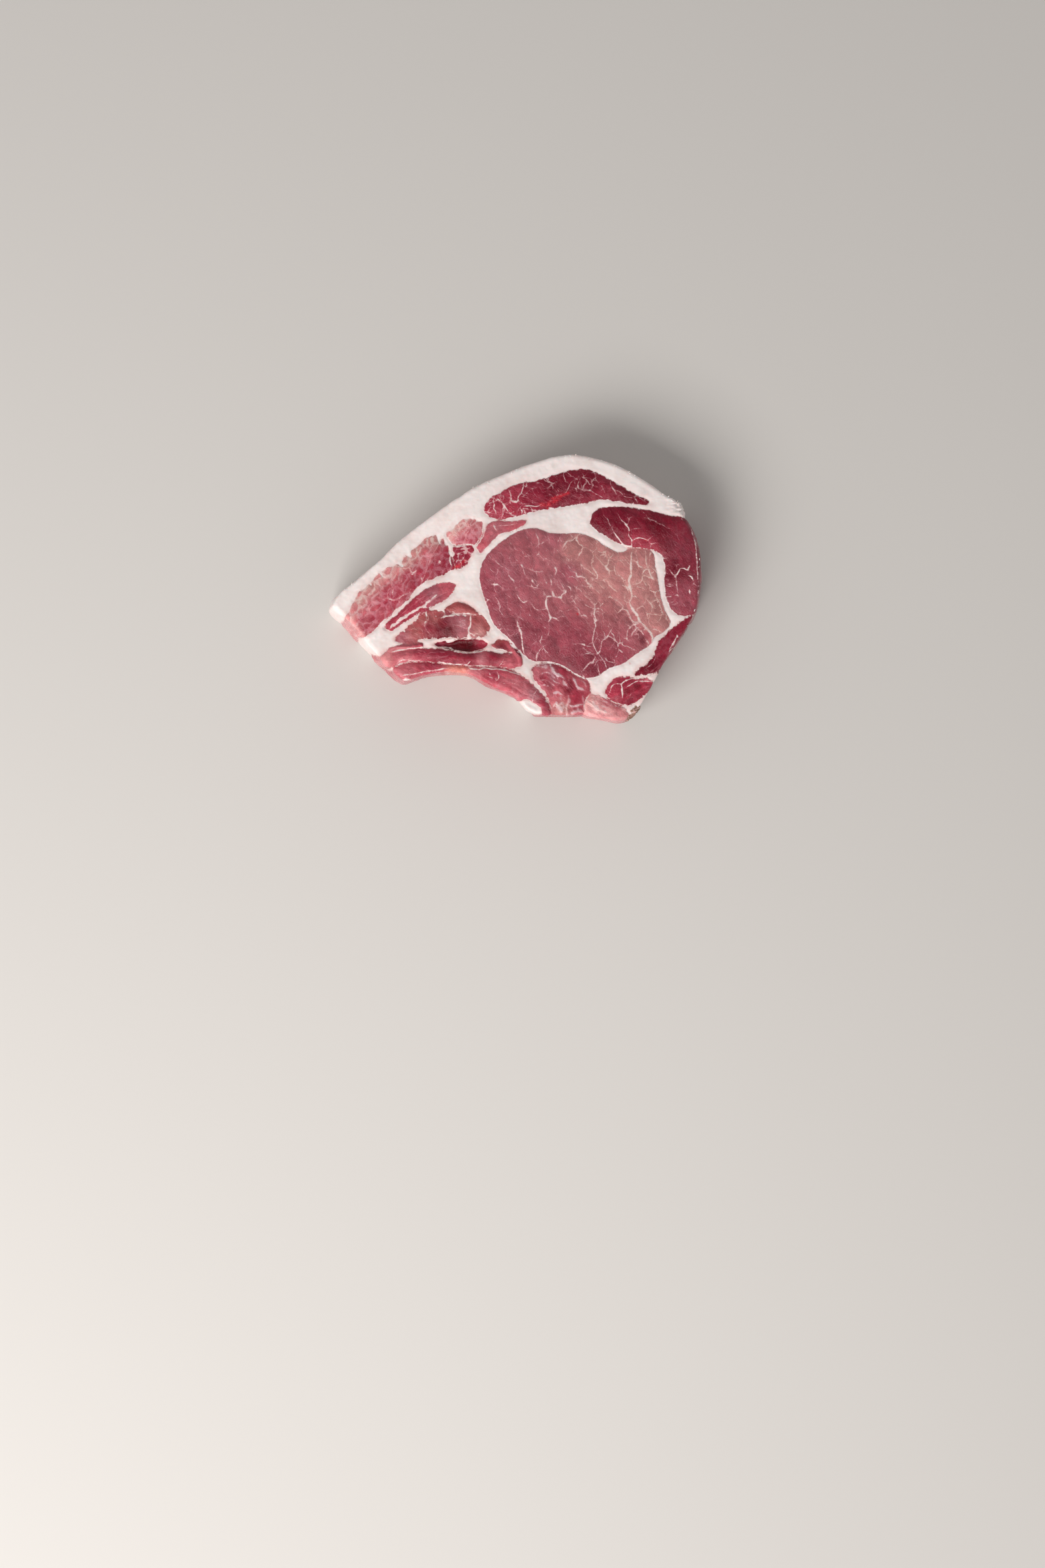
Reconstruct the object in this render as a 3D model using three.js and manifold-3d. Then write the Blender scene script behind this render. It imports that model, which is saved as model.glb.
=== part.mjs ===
// A raw pork rib chop, cut straight through the loin between two ribs and lying on one cut face.
// Every muscle that the cut shows runs through the whole thickness, set in one body of white fat:
// the fat cap on the back, the seams between the muscles and the thin skin round them.
// Units are millimetres. +X runs from the thin belly end to the spine side, +Y to the fat cap, +Z up.

import * as THREE from 'three';
import { mergeVertices } from 'three/addons/utils/BufferGeometryUtils.js';
import Module from 'manifold-3d';

const wasm = await Module();
wasm.setup();

// Driving dimensions
const THICKNESS = 26; // of the chop at the eye of the loin
const THIN_END = 0.86; // thickness at the belly end, as a share of that
const THINNING_REACH = 75; // length over which the belly half thins to that, from x = 0
const SEAM = 0.3; // gap between a muscle and the fat round it
const CUT_EDGE = 0.8; // rounding of the knife-cut rims
const SIDE_BULGE = 0.5; // how far the soft side swells past its rims
const BELLY_SLOPE = 3.2; // how far the belly end leans out below the upper face
const SLOPE_START = -38; // x where that lean begins
const SLOPE_REACH = 30; // length over which it grows
const GRAIN_DRIFT = 1.1; // how far the muscles wander sideways on their way down
const DRIFT_WAVE = { alongX: 26, alongY: 21, start: 0.5 }; // lengths of that wandering over one radian
const SWELL = 0.45; // height of the slow waves of the soft upper face
const SWELL_WAVE = { alongX: 15, alongY: 12, slanting: 9, startX: 0.8, startY: -0.4, slantShare: 0.6 };
const CROWN_REACH = 9; // how far in from its rim a wide muscle has risen to its full crown
const CROWN_START = 0.8; // share of the height from which a muscle's sides follow its crown
const CROWN_END = 0.98; // share of the height at which they have followed it whole
const CENTRE = [5, 0]; // a point that sees the whole outline
const OUTLINE_STEPS = 110;
const RIM_SEGMENT = 2.3; // length of the facets round a muscle
const FEWEST_SEGMENTS = 16; // round the smallest muscle
const CUTTER_REACH = 12; // how far a cutter runs past both faces

// Side of the chop: share of the height, and how far the outline stands in from its widest there.
// CUT_EDGE, SIDE_BULGE and the slope of the belly end scale the three columns.
const SIDE_LEVELS = [
  { height: 0, edge: 1.0, bulge: 1.0, slope: 0.0 },
  { height: 0.035, edge: 0.2, bulge: 0.7, slope: 0.0 },
  { height: 0.3, edge: 0.0, bulge: 0.0, slope: 0.1 },
  { height: 0.65, edge: 0.0, bulge: 0.2, slope: 0.45 },
  { height: 0.965, edge: 0.2, bulge: 1.0, slope: 0.9 },
  { height: 1, edge: 1.0, bulge: 1.2, slope: 1.0 },
];
// Rings of the upper face, as shares of the way from CENTRE to the rim.
const FACE_RINGS = [0.94, 0.86, 0.76, 0.65, 0.53, 0.4, 0.26, 0.12];

// Outline of the whole chop, from the belly tip round the fat cap, the spine side and the rib side.
const CHOP_OUTLINE = [
  [-71, -7.2], [-69, -2.6], [-64.6, 1], [-58.3, 5.8], [-52, 10.4], [-42.2, 18.8], [-32.2, 26], [-22.3, 33],
  [-12.4, 38.8], [-2.5, 43.1], [7.4, 46.8], [17.4, 49.4], [24.8, 49.8], [32.2, 48], [42.2, 44.2],
  [52.1, 38.2], [58.3, 34], [62.8, 31.3], [64.2, 28.6], [63.9, 26.2], [66, 23.2], [68.4, 17.9],
  [69.8, 12.2], [70.3, 5.8], [69.9, -1.2], [68.9, -7.9], [66.5, -13.6], [61.7, -21.1], [57.1, -28.3],
  [53.2, -35.4], [48.8, -43.4], [46.2, -46.8], [43.6, -49.3], [40.4, -50.1], [33.5, -49.4], [24.8, -48.2],
  [14.9, -48.5], [7.2, -47.6], [4.2, -45.2], [1.2, -41.6], [-3.7, -39.2], [-11.2, -35.7], [-16.4, -32.7],
  [-22.3, -31.7], [-29.8, -32.1], [-36, -33.3], [-41.2, -34.9], [-44.4, -33], [-48.8, -29.2], [-53.5, -25.2],
  [-57.4, -21.3], [-60.2, -17.8], [-65, -12.6], [-69, -9.4],
];

// Each muscle's outline on the upper face. One that runs past CHOP_OUTLINE is bare at the chop's side.
// crown is how far the soft face swells above its rim, sink how far the whole face lies below the cut.
const EYE = '#a35c65';
const DARK = '#7d2b38';
const DARKEST = '#6a1a29';
const PINK = '#b86f72';
const RIB = '#a8465a';
const RIB_END = '#b06070';
const CARTILAGE = '#efe4df';
const BONE = '#8a6553';
const FAT = '#e9dcd8';
const MUSCLES = [
  {
    name: 'eye_muscle', colour: EYE, crown: 1.1, sink: 0,
    outline: [
      [-7.6, 13.8], [-2, 18.2], [3.7, 21], [8.9, 21.6], [12.4, 20], [18.6, 19.5], [24.3, 19.7], [29.8, 17.8],
      [34.7, 14.7], [39.2, 12.5], [44.6, 13.2], [51.6, 12.3], [52.8, 7.4], [53.8, 2], [55, -4.5], [56.6, -9.6],
      [58.6, -13.8], [56.4, -16.4], [52.4, -18.9], [50.9, -21.6], [46.4, -24.5], [40.9, -28.5], [35.2, -30.5],
      [31.5, -33.2], [27.3, -34], [22.5, -31.8], [17.9, -28.9], [12.6, -27.7], [7.2, -27.6], [3, -24.2],
      [-1.2, -19.4], [-5.3, -15.9], [-8, -12.2], [-9.4, -7.4], [-11.2, -2.5], [-12.4, 2.5], [-11.9, 7.4],
      [-10, 11.2],
    ],
  },
  {
    name: 'spine_muscle', colour: DARK, crown: 0.7, sink: 0,
    outline: [
      [29, 25.6], [30.7, 28.2], [35.4, 29.3], [42.2, 29.2], [49.6, 28.2], [57, 26.3], [63.8, 25.4], [73, 21],
      [77, 7], [74, -8.4], [67.6, -8.9], [63.2, -10.6], [59.2, -8.4], [57.2, -4], [56.6, 2.5], [56.8, 7.9],
      [54.8, 12.6], [50.6, 14.7], [45.8, 15.6], [40.7, 15.8], [36, 18.2], [31.4, 20.9], [28.9, 23.3],
    ],
  },
  {
    name: 'top_muscle', colour: DARK, crown: 0.7, sink: 0,
    outline: [
      [-10.7, 28], [-8.9, 31.7], [-3.2, 35.5], [2.5, 38.2], [8.7, 39], [16.1, 41.4], [22.3, 43], [27.8, 43],
      [33.5, 40.6], [38.4, 37.8], [44.6, 34.2], [51, 30.9], [44.6, 31], [38.4, 32.1], [32.2, 32.7],
      [26, 31.2], [17.4, 30], [9.9, 28.8], [2.5, 26.9], [-5, 25.5],
    ],
  },
  {
    name: 'flank_muscle', colour: PINK, crown: 0.8, sink: 0,
    outline: [
      [-22.4, 6.9], [-23.9, 11.9], [-26.4, 16.8], [-29.5, 18.6], [-34.7, 15.6], [-40.9, 9.9], [-47.1, 6.2],
      [-53.3, 2], [-58.3, -3.9], [-61.4, -9.4], [-65, -13.6], [-70, -19], [-65, -25], [-59.4, -20.6],
      [-55.8, -18], [-50.8, -14.4], [-44.6, -8.9], [-39.2, -4], [-34.2, 1.2], [-28.5, 4.5],
    ],
  },
  {
    name: 'fan_upper_muscle', colour: PINK, crown: 0.5, sink: 0,
    outline: [
      [-24.3, 18.8], [-21.8, 21.9], [-18.1, 24.2], [-14.4, 24], [-11.9, 22.8], [-12.3, 19.3], [-14.8, 16.3],
      [-18.6, 16.3], [-22.6, 16.5],
    ],
  },
  {
    name: 'fan_end_muscle', colour: PINK, crown: 0.5, sink: 0,
    outline: [
      [-9.2, 22.8], [-5.5, 23.9], [0, 23.6], [4.6, 24.2], [0, 21.6], [-5.3, 19.8], [-9.3, 16.2], [-12.9, 12.9],
      [-13, 14.6], [-10.3, 18.9],
    ],
  },
  {
    name: 'fan_lower_muscle', colour: DARK, crown: 0.4, sink: 0,
    outline: [[-21.6, 14.1], [-18.6, 14.7], [-16, 14], [-17.2, 10.9], [-19.4, 7.7], [-21, 7.6], [-21.9, 10.6]],
  },
  {
    name: 'seam_muscle', colour: RIB, crown: 0.4, sink: 0,
    outline: [
      [-21.8, 0.5], [-26.8, 0.8], [-32.2, -1.1], [-37.2, -4.9], [-42.2, -9.6], [-47.6, -14.9], [-46.4, -16.2],
      [-40.9, -13], [-34.7, -8.9], [-28.5, -6], [-23.8, -3],
    ],
  },
  {
    name: 'side_muscle', colour: DARK, crown: 0.6, sink: 0,
    outline: [
      [-43.4, -19.6], [-40.4, -17], [-36.7, -13.6], [-32.2, -10.6], [-26, -10.2], [-19.8, -11.1], [-13.4, -11.7],
      [-10.4, -14.2], [-9.3, -16.8], [-12.9, -18.4], [-19.8, -18.6], [-27.3, -18.8], [-33.5, -18.9],
      [-39.2, -20.5],
    ],
  },
  {
    name: 'side_lobe_muscle', colour: DARK, crown: 0.4, sink: 0,
    outline: [[-23.2, -7.7], [-21.3, -6.3], [-17.9, -6.8], [-14.3, -9.7], [-18.6, -9.4], [-22.2, -8.9]],
  },
  {
    name: 'rib_hollow_muscle', colour: DARKEST, crown: -0.9, sink: 0.9,
    outline: [
      [-29.8, -21.4], [-25.3, -20.7], [-19.8, -20.2], [-13.6, -20], [-9.6, -20.9], [-10.7, -22.6],
      [-16.1, -23.8], [-21.1, -23.4], [-26, -22.5],
    ],
  },
  {
    name: 'rib_nub_muscle', colour: RIB, crown: 0.4, sink: 0.2,
    outline: [[-7.6, -21.7], [-4.5, -20.2], [-1.7, -21.4], [-0.8, -23.6], [-3.7, -23.5], [-6.2, -23.1]],
  },
  {
    name: 'rib_upper_muscle', colour: RIB, crown: 0.9, sink: 0,
    outline: [
      [-54, -31], [-49.6, -26.4], [-46.6, -24.4], [-40.9, -23.6], [-32.2, -23.5], [-26, -24], [-21, -24.9],
      [-16, -25.4], [-10.7, -24.5], [-6.2, -25.1], [0.6, -25.9], [2.4, -28.3], [0.8, -30], [-3.7, -29.6],
      [-11.2, -29.1], [-18.6, -28.9], [-26, -28], [-33.5, -27.3], [-40.4, -27.6], [-45.5, -29.4], [-49.5, -34],
    ],
  },
  {
    name: 'rib_lower_muscle', colour: RIB, crown: 0.7, sink: 0,
    outline: [
      [-46.8, -36.5], [-44, -30.9], [-39.5, -29.1], [-33.5, -28.8], [-27, -29.4], [-19, -30.2], [-11, -30.5],
      [-3.4, -31], [1.5, -33.2], [6, -36.7], [10, -40.6], [12.6, -44.6], [13.4, -53], [10.6, -53],
      [9.8, -47.5], [7.8, -44.8], [3.4, -42.9], [-1, -42], [-5.5, -41.9], [-12.5, -38], [-18, -35.2],
      [-30, -35.3], [-41, -38.8],
    ],
  },
  {
    name: 'gristle', colour: CARTILAGE, crown: 0.3, sink: 0,
    outline: [[-1, -41.4], [4, -41.4], [9, -43.4], [11, -47], [11, -54], [-3, -54]],
  },
  {
    name: 'rib_block_muscle', colour: RIB_END, crown: 0.6, sink: 0,
    outline: [
      [7.8, -30.6], [13.4, -29.2], [17.9, -30.3], [22.8, -33.4], [27.2, -35.7], [28.3, -38.5], [26.6, -42],
      [25.7, -46], [25.2, -54], [15.6, -54], [14.9, -46], [14.2, -42.4], [12.6, -38.9], [9.4, -35.8],
      [8.1, -33.4],
    ],
  },
  {
    name: 'chine_foot_muscle', colour: RIB_END, crown: 0.5, sink: 0.1,
    outline: [
      [27.3, -42.4], [29, -40.8], [34, -42.3], [39.3, -44.8], [41.7, -46.4], [42.1, -54], [27, -54],
      [26.9, -46],
    ],
  },
  {
    name: 'chine_muscle', colour: DARK, crown: 0.8, sink: 0.1,
    outline: [
      [34.7, -39.9], [36.2, -36.8], [38.4, -34.5], [42.5, -34.3], [46.6, -34.9], [51, -35.1], [50.4, -38],
      [47.2, -41.4], [43.6, -43.4], [40, -43.3], [36.9, -42],
    ],
  },
  {
    name: 'chine_strip_muscle', colour: DARK, crown: 0.6, sink: 0.1,
    outline: [
      [66, -12.3], [63.5, -13.3], [61.2, -15], [57.8, -17.9], [55.3, -20.2], [53.6, -23], [52.6, -26.8],
      [49.6, -29.8], [45.4, -32.1], [50.2, -32.4], [54, -30.4], [56.8, -26.6], [60.4, -20.8], [64.4, -15.2],
    ],
  },
  {
    name: 'bone_chip', colour: BONE, crown: 0.4, sink: 0.4,
    outline: [[43.3, -47.4], [44.4, -45.4], [46.4, -44.6], [51, -46], [47, -54], [43.4, -53]],
  },
];

// A closed smooth curve through the points.
function smoothCurve(points) {
  const knots = points.map(([x, y]) => new THREE.Vector3(x, y, 0));
  return new THREE.CatmullRomCurve3(knots, true, 'centripetal');
}

// The curve as a polygon of evenly spaced corners.
function polygonOf(curve, steps) {
  return curve.getSpacedPoints(steps).slice(0, steps).map((p) => [p.x, p.y]);
}

// The polygon grown outwards by a distance, with mitred corners. The polygon may run either way round.
function grown(loop, distance) {
  const turn = Math.sign(signedArea(loop));
  const normals = loop.map(([x, y], i) => {
    const [nextX, nextY] = loop[(i + 1) % loop.length];
    const length = Math.hypot(nextX - x, nextY - y);
    return [(turn * (nextY - y)) / length, (-turn * (nextX - x)) / length];
  });
  const longestMitre = 3;
  return loop.map(([x, y], i) => {
    const [ax, ay] = normals.at(i - 1);
    const [bx, by] = normals[i];
    const mitre = Math.min(1 / (1 + ax * bx + ay * by), longestMitre);
    return [x + distance * mitre * (ax + bx), y + distance * mitre * (ay + by)];
  });
}

function signedArea(loop) {
  return loop.reduce((sum, [x, y], i) => {
    const [nextX, nextY] = loop[(i + 1) % loop.length];
    return sum + (x * nextY - nextX * y) / 2;
  }, 0);
}

// How far a point lies from the nearest side of a polygon.
function distanceTo(loop, x, y) {
  let nearest = Infinity;
  loop.forEach(([ax, ay], i) => {
    const [bx, by] = loop[(i + 1) % loop.length];
    const along = ((x - ax) * (bx - ax) + (y - ay) * (by - ay)) / ((bx - ax) ** 2 + (by - ay) ** 2);
    const t = THREE.MathUtils.clamp(along, 0, 1);
    nearest = Math.min(nearest, Math.hypot(x - ax - t * (bx - ax), y - ay - t * (by - ay)));
  });
  return nearest;
}

function inside(loop, x, y) {
  return loop.reduce((odd, [ax, ay], i) => {
    const [bx, by] = loop[(i + 1) % loop.length];
    const crosses = ay > y !== by > y && x < ax + ((y - ay) * (bx - ax)) / (by - ay);
    return crosses ? !odd : odd;
  }, false);
}

// Height of the upper face: thinner towards the belly end, with slow waves.
function faceHeight(x, y) {
  const thinning = THREE.MathUtils.smoothstep(-x, 0, THINNING_REACH);
  const { alongX, alongY, slanting, startX, startY, slantShare } = SWELL_WAVE;
  const crossed = Math.sin(x / alongX + startX) * Math.cos(y / alongY + startY);
  const slanted = slantShare * Math.sin((x + y) / slanting);
  return THICKNESS * (1 - (1 - THIN_END) * thinning) + SWELL * (crossed + slanted);
}

// The whole chop as one closed body: stacked outlines for the side, rings for the upper face.
function chopBody() {
  const rim = polygonOf(smoothCurve(CHOP_OUTLINE), OUTLINE_STEPS);
  const [cx, cy] = CENTRE;
  const loops = SIDE_LEVELS.map(({ height, edge, bulge, slope }) => rim.map(([x, y]) => {
    const lean = BELLY_SLOPE * THREE.MathUtils.smoothstep(SLOPE_START - x, 0, SLOPE_REACH);
    const inset = CUT_EDGE * edge + SIDE_BULGE * bulge + lean * slope;
    const keep = 1 - inset / Math.hypot(x - cx, y - cy);
    const [px, py] = [cx + (x - cx) * keep, cy + (y - cy) * keep];
    return [px, py, height * faceHeight(px, py)];
  }));
  const upperRim = loops.at(-1);
  FACE_RINGS.forEach((share) => loops.push(upperRim.map(([x, y]) => {
    const [px, py] = [cx + (x - cx) * share, cy + (y - cy) * share];
    return [px, py, faceHeight(px, py)];
  })));
  const corners = [...loops.flat(), [cx, cy, faceHeight(cx, cy)], [cx, cy, 0]];
  const faces = [];
  const top = corners.length - 2;
  const bottom = corners.length - 1;
  for (let i = 0; i < OUTLINE_STEPS; i += 1) {
    const j = (i + 1) % OUTLINE_STEPS;
    for (let k = 0; k + 1 < loops.length; k += 1) {
      const [low, high] = [k * OUTLINE_STEPS, (k + 1) * OUTLINE_STEPS];
      faces.push(low + i, high + i, low + j, low + j, high + i, high + j);
    }
    const last = (loops.length - 1) * OUTLINE_STEPS;
    faces.push(last + i, top, last + j, i, j, bottom);
  }
  const outwards = signedArea(rim) > 0 ? faces.toReversed() : faces;
  const geometry = new THREE.BufferGeometry();
  geometry.setAttribute('position', new THREE.Float32BufferAttribute(corners.flat(), 3));
  geometry.setIndex(outwards);
  return geometry;
}

// An upright cutter with the outline of a muscle, long enough to run through both faces.
function cutter(loop) {
  const shape = new THREE.Shape(loop.map(([x, y]) => new THREE.Vector2(x, y)));
  const depth = THICKNESS + 2 * CUTTER_REACH;
  return new THREE.ExtrudeGeometry(shape, { depth, bevelEnabled: false }).translate(0, 0, -CUTTER_REACH);
}

function toSolid(geometry) {
  const bare = geometry.clone();
  bare.deleteAttribute('normal');
  bare.deleteAttribute('uv');
  const merged = mergeVertices(bare, 1e-4);
  const vertProperties = new Float32Array(merged.attributes.position.array);
  const triVerts = new Uint32Array(merged.index.array);
  return new wasm.Manifold(new wasm.Mesh({ numProp: 3, vertProperties, triVerts }));
}

// The geometry of a solid, each corner moved by a function of its place.
function toGeometry(solid, move) {
  const { vertProperties, triVerts, numProp } = solid.getMesh();
  const places = [];
  for (let i = 0; i < vertProperties.length; i += numProp) {
    places.push(...move(...vertProperties.slice(i, i + 3)));
  }
  const geometry = new THREE.BufferGeometry();
  geometry.setAttribute('position', new THREE.Float32BufferAttribute(places, 3));
  geometry.setIndex(Array.from(triVerts));
  const faceted = geometry.toNonIndexed();
  faceted.computeVertexNormals();
  return faceted;
}

// The muscles wander a little on their way down, all by one smooth rule, so that they never meet.
function drifted(x, y, z) {
  const drift = GRAIN_DRIFT * (1 - z / THICKNESS);
  const { alongX, alongY, start } = DRIFT_WAVE;
  return [x + drift * Math.sin(y / alongY + start), y + drift * Math.cos(x / alongX), z];
}

// Lifts the upper face of a muscle into its crown, or lowers it into its hollow.
function shaped({ crown, sink }, loop) {
  const radius = Math.sqrt(Math.abs(signedArea(loop)) / Math.PI);
  const reach = Math.min(radius / 2, CROWN_REACH);
  return (x, y, z) => {
    const share = THREE.MathUtils.smoothstep(z / faceHeight(x, y), CROWN_START, CROWN_END);
    const deep = inside(loop, x, y) ? Math.min(distanceTo(loop, x, y) / reach, 1) : 0;
    const lift = crown * (1 - (1 - deep) ** 2) - sink;
    return drifted(x, y, z + share * lift);
  };
}

function piece(name, geometry, colour) {
  const material = new THREE.MeshStandardMaterial({ color: colour, roughness: 0.45, metalness: 0 });
  const mesh = new THREE.Mesh(geometry, material);
  mesh.name = name;
  return mesh;
}

// Each muscle is cut out of what is left of the chop, with a seam's width round it, and the rest is the fat.
const chop = new THREE.Group();
let rest = toSolid(chopBody());
for (const muscle of MUSCLES) {
  const curve = smoothCurve(muscle.outline);
  const segments = Math.round(curve.getLength() / RIM_SEGMENT);
  const loop = polygonOf(curve, Math.max(segments, muscle.outline.length, FEWEST_SEGMENTS));
  const solid = rest.intersect(toSolid(cutter(loop)));
  rest = rest.subtract(toSolid(cutter(grown(loop, SEAM))));
  chop.add(piece(muscle.name, toGeometry(solid, shaped(muscle, loop)), muscle.colour));
}
chop.add(piece('fat', toGeometry(rest, drifted), FAT));

// Stands the chop with the middle of its box over the origin.
const box = new THREE.Box3().setFromObject(chop);
const middle = box.getCenter(new THREE.Vector3());
chop.children.forEach((mesh) => mesh.geometry.translate(-middle.x, -middle.y, -box.min.z));

export default chop;
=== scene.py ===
import math

import bpy
import numpy as np
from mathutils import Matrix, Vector, kdtree, noise
from mathutils.bvhtree import BVHTree
from mathutils.geometry import delaunay_2d_cdt


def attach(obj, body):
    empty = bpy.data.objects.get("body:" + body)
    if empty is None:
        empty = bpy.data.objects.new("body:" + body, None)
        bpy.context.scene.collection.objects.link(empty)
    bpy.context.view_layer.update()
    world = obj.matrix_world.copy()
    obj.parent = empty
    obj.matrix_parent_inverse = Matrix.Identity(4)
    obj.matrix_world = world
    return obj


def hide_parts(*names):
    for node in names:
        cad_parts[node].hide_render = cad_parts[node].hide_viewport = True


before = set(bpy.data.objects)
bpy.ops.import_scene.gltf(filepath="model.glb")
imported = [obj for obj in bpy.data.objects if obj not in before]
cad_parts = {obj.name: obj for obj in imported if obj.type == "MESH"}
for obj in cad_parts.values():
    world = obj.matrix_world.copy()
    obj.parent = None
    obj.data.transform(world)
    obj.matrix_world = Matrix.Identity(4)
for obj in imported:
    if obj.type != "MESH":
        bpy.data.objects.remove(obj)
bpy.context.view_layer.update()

# The camera
# It hangs straight over the middle of the photograph, far enough for a pixel to cover what it covers there.
# Places marked on the photograph, in its own pixels, become places on the chop's upper face here too.
PHOTO_PIXELS = (1568, 2353)
REST_PIXEL = 0.256  # mm that a pixel covers on the surface under the chop
FACE_PIXEL = 0.248  # and on the chop's upper face, nearer the camera
MIDDLE_PIXEL = (770.6, 879.5)  # what lies over the middle of the chop's box
LENS = 50.0
SENSOR = 36.0
MM = 0.001


def on_face(pixels):
    """Places on the upper face, in millimetres, of points given in the photograph's pixels."""
    return (np.array(pixels, dtype=float) - MIDDLE_PIXEL) * (FACE_PIXEL, -FACE_PIXEL)


def added(name, data):
    """A new object in the scene."""
    made = bpy.data.objects.new(name, data)
    bpy.context.scene.collection.objects.link(made)
    return made


camera_data = bpy.data.cameras.new("overhead_camera")
camera_data.lens = LENS
camera_data.sensor_width = SENSOR
camera = added("overhead_camera", camera_data)
aim = on_face([(PHOTO_PIXELS[0] / 2, PHOTO_PIXELS[1] / 2)])[0]
camera.location = (aim[0] * MM, aim[1] * MM, REST_PIXEL * PHOTO_PIXELS[1] * LENS / SENSOR * MM)
bpy.context.scene.camera = camera

# The threads of fat
# White threads and films run through the lean and branch between its bundles. Each is drawn from the
# photograph as a course of a few pixels, with the kind of thread that it is.
BAND = (0.45, 0.9)  # half width in millimetres, and how white it is
FILM = (0.3, 1.0)
VEIN = (0.2, 0.9)
THREAD = (0.13, 0.75)
HAIR = (0.08, 0.5)
STEM = (0.4, 0.86)
KNOT = (0.3, 0.84)
BRANCH = (0.24, 0.82)
STREAK = (0.16, 0.74)
WISP = (0.11, 0.62)
SOFT = (0.26, 0.56)
FAINT = (0.16, 0.48)
TAPER = 1.6  # mm over which a thread thins out at its ends
THIN_END = 0.12  # share of its width that is left there
STRAY = 0.3  # mm that a thread wanders to each side
STRAY_LENGTH = 2.6
STRAY_SEED = 7  # without one, the noise that the threads stray by starts from the clock
UNEVEN = 0.8  # share by which its width changes along it
UNEVEN_LENGTH = 1.1

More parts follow.
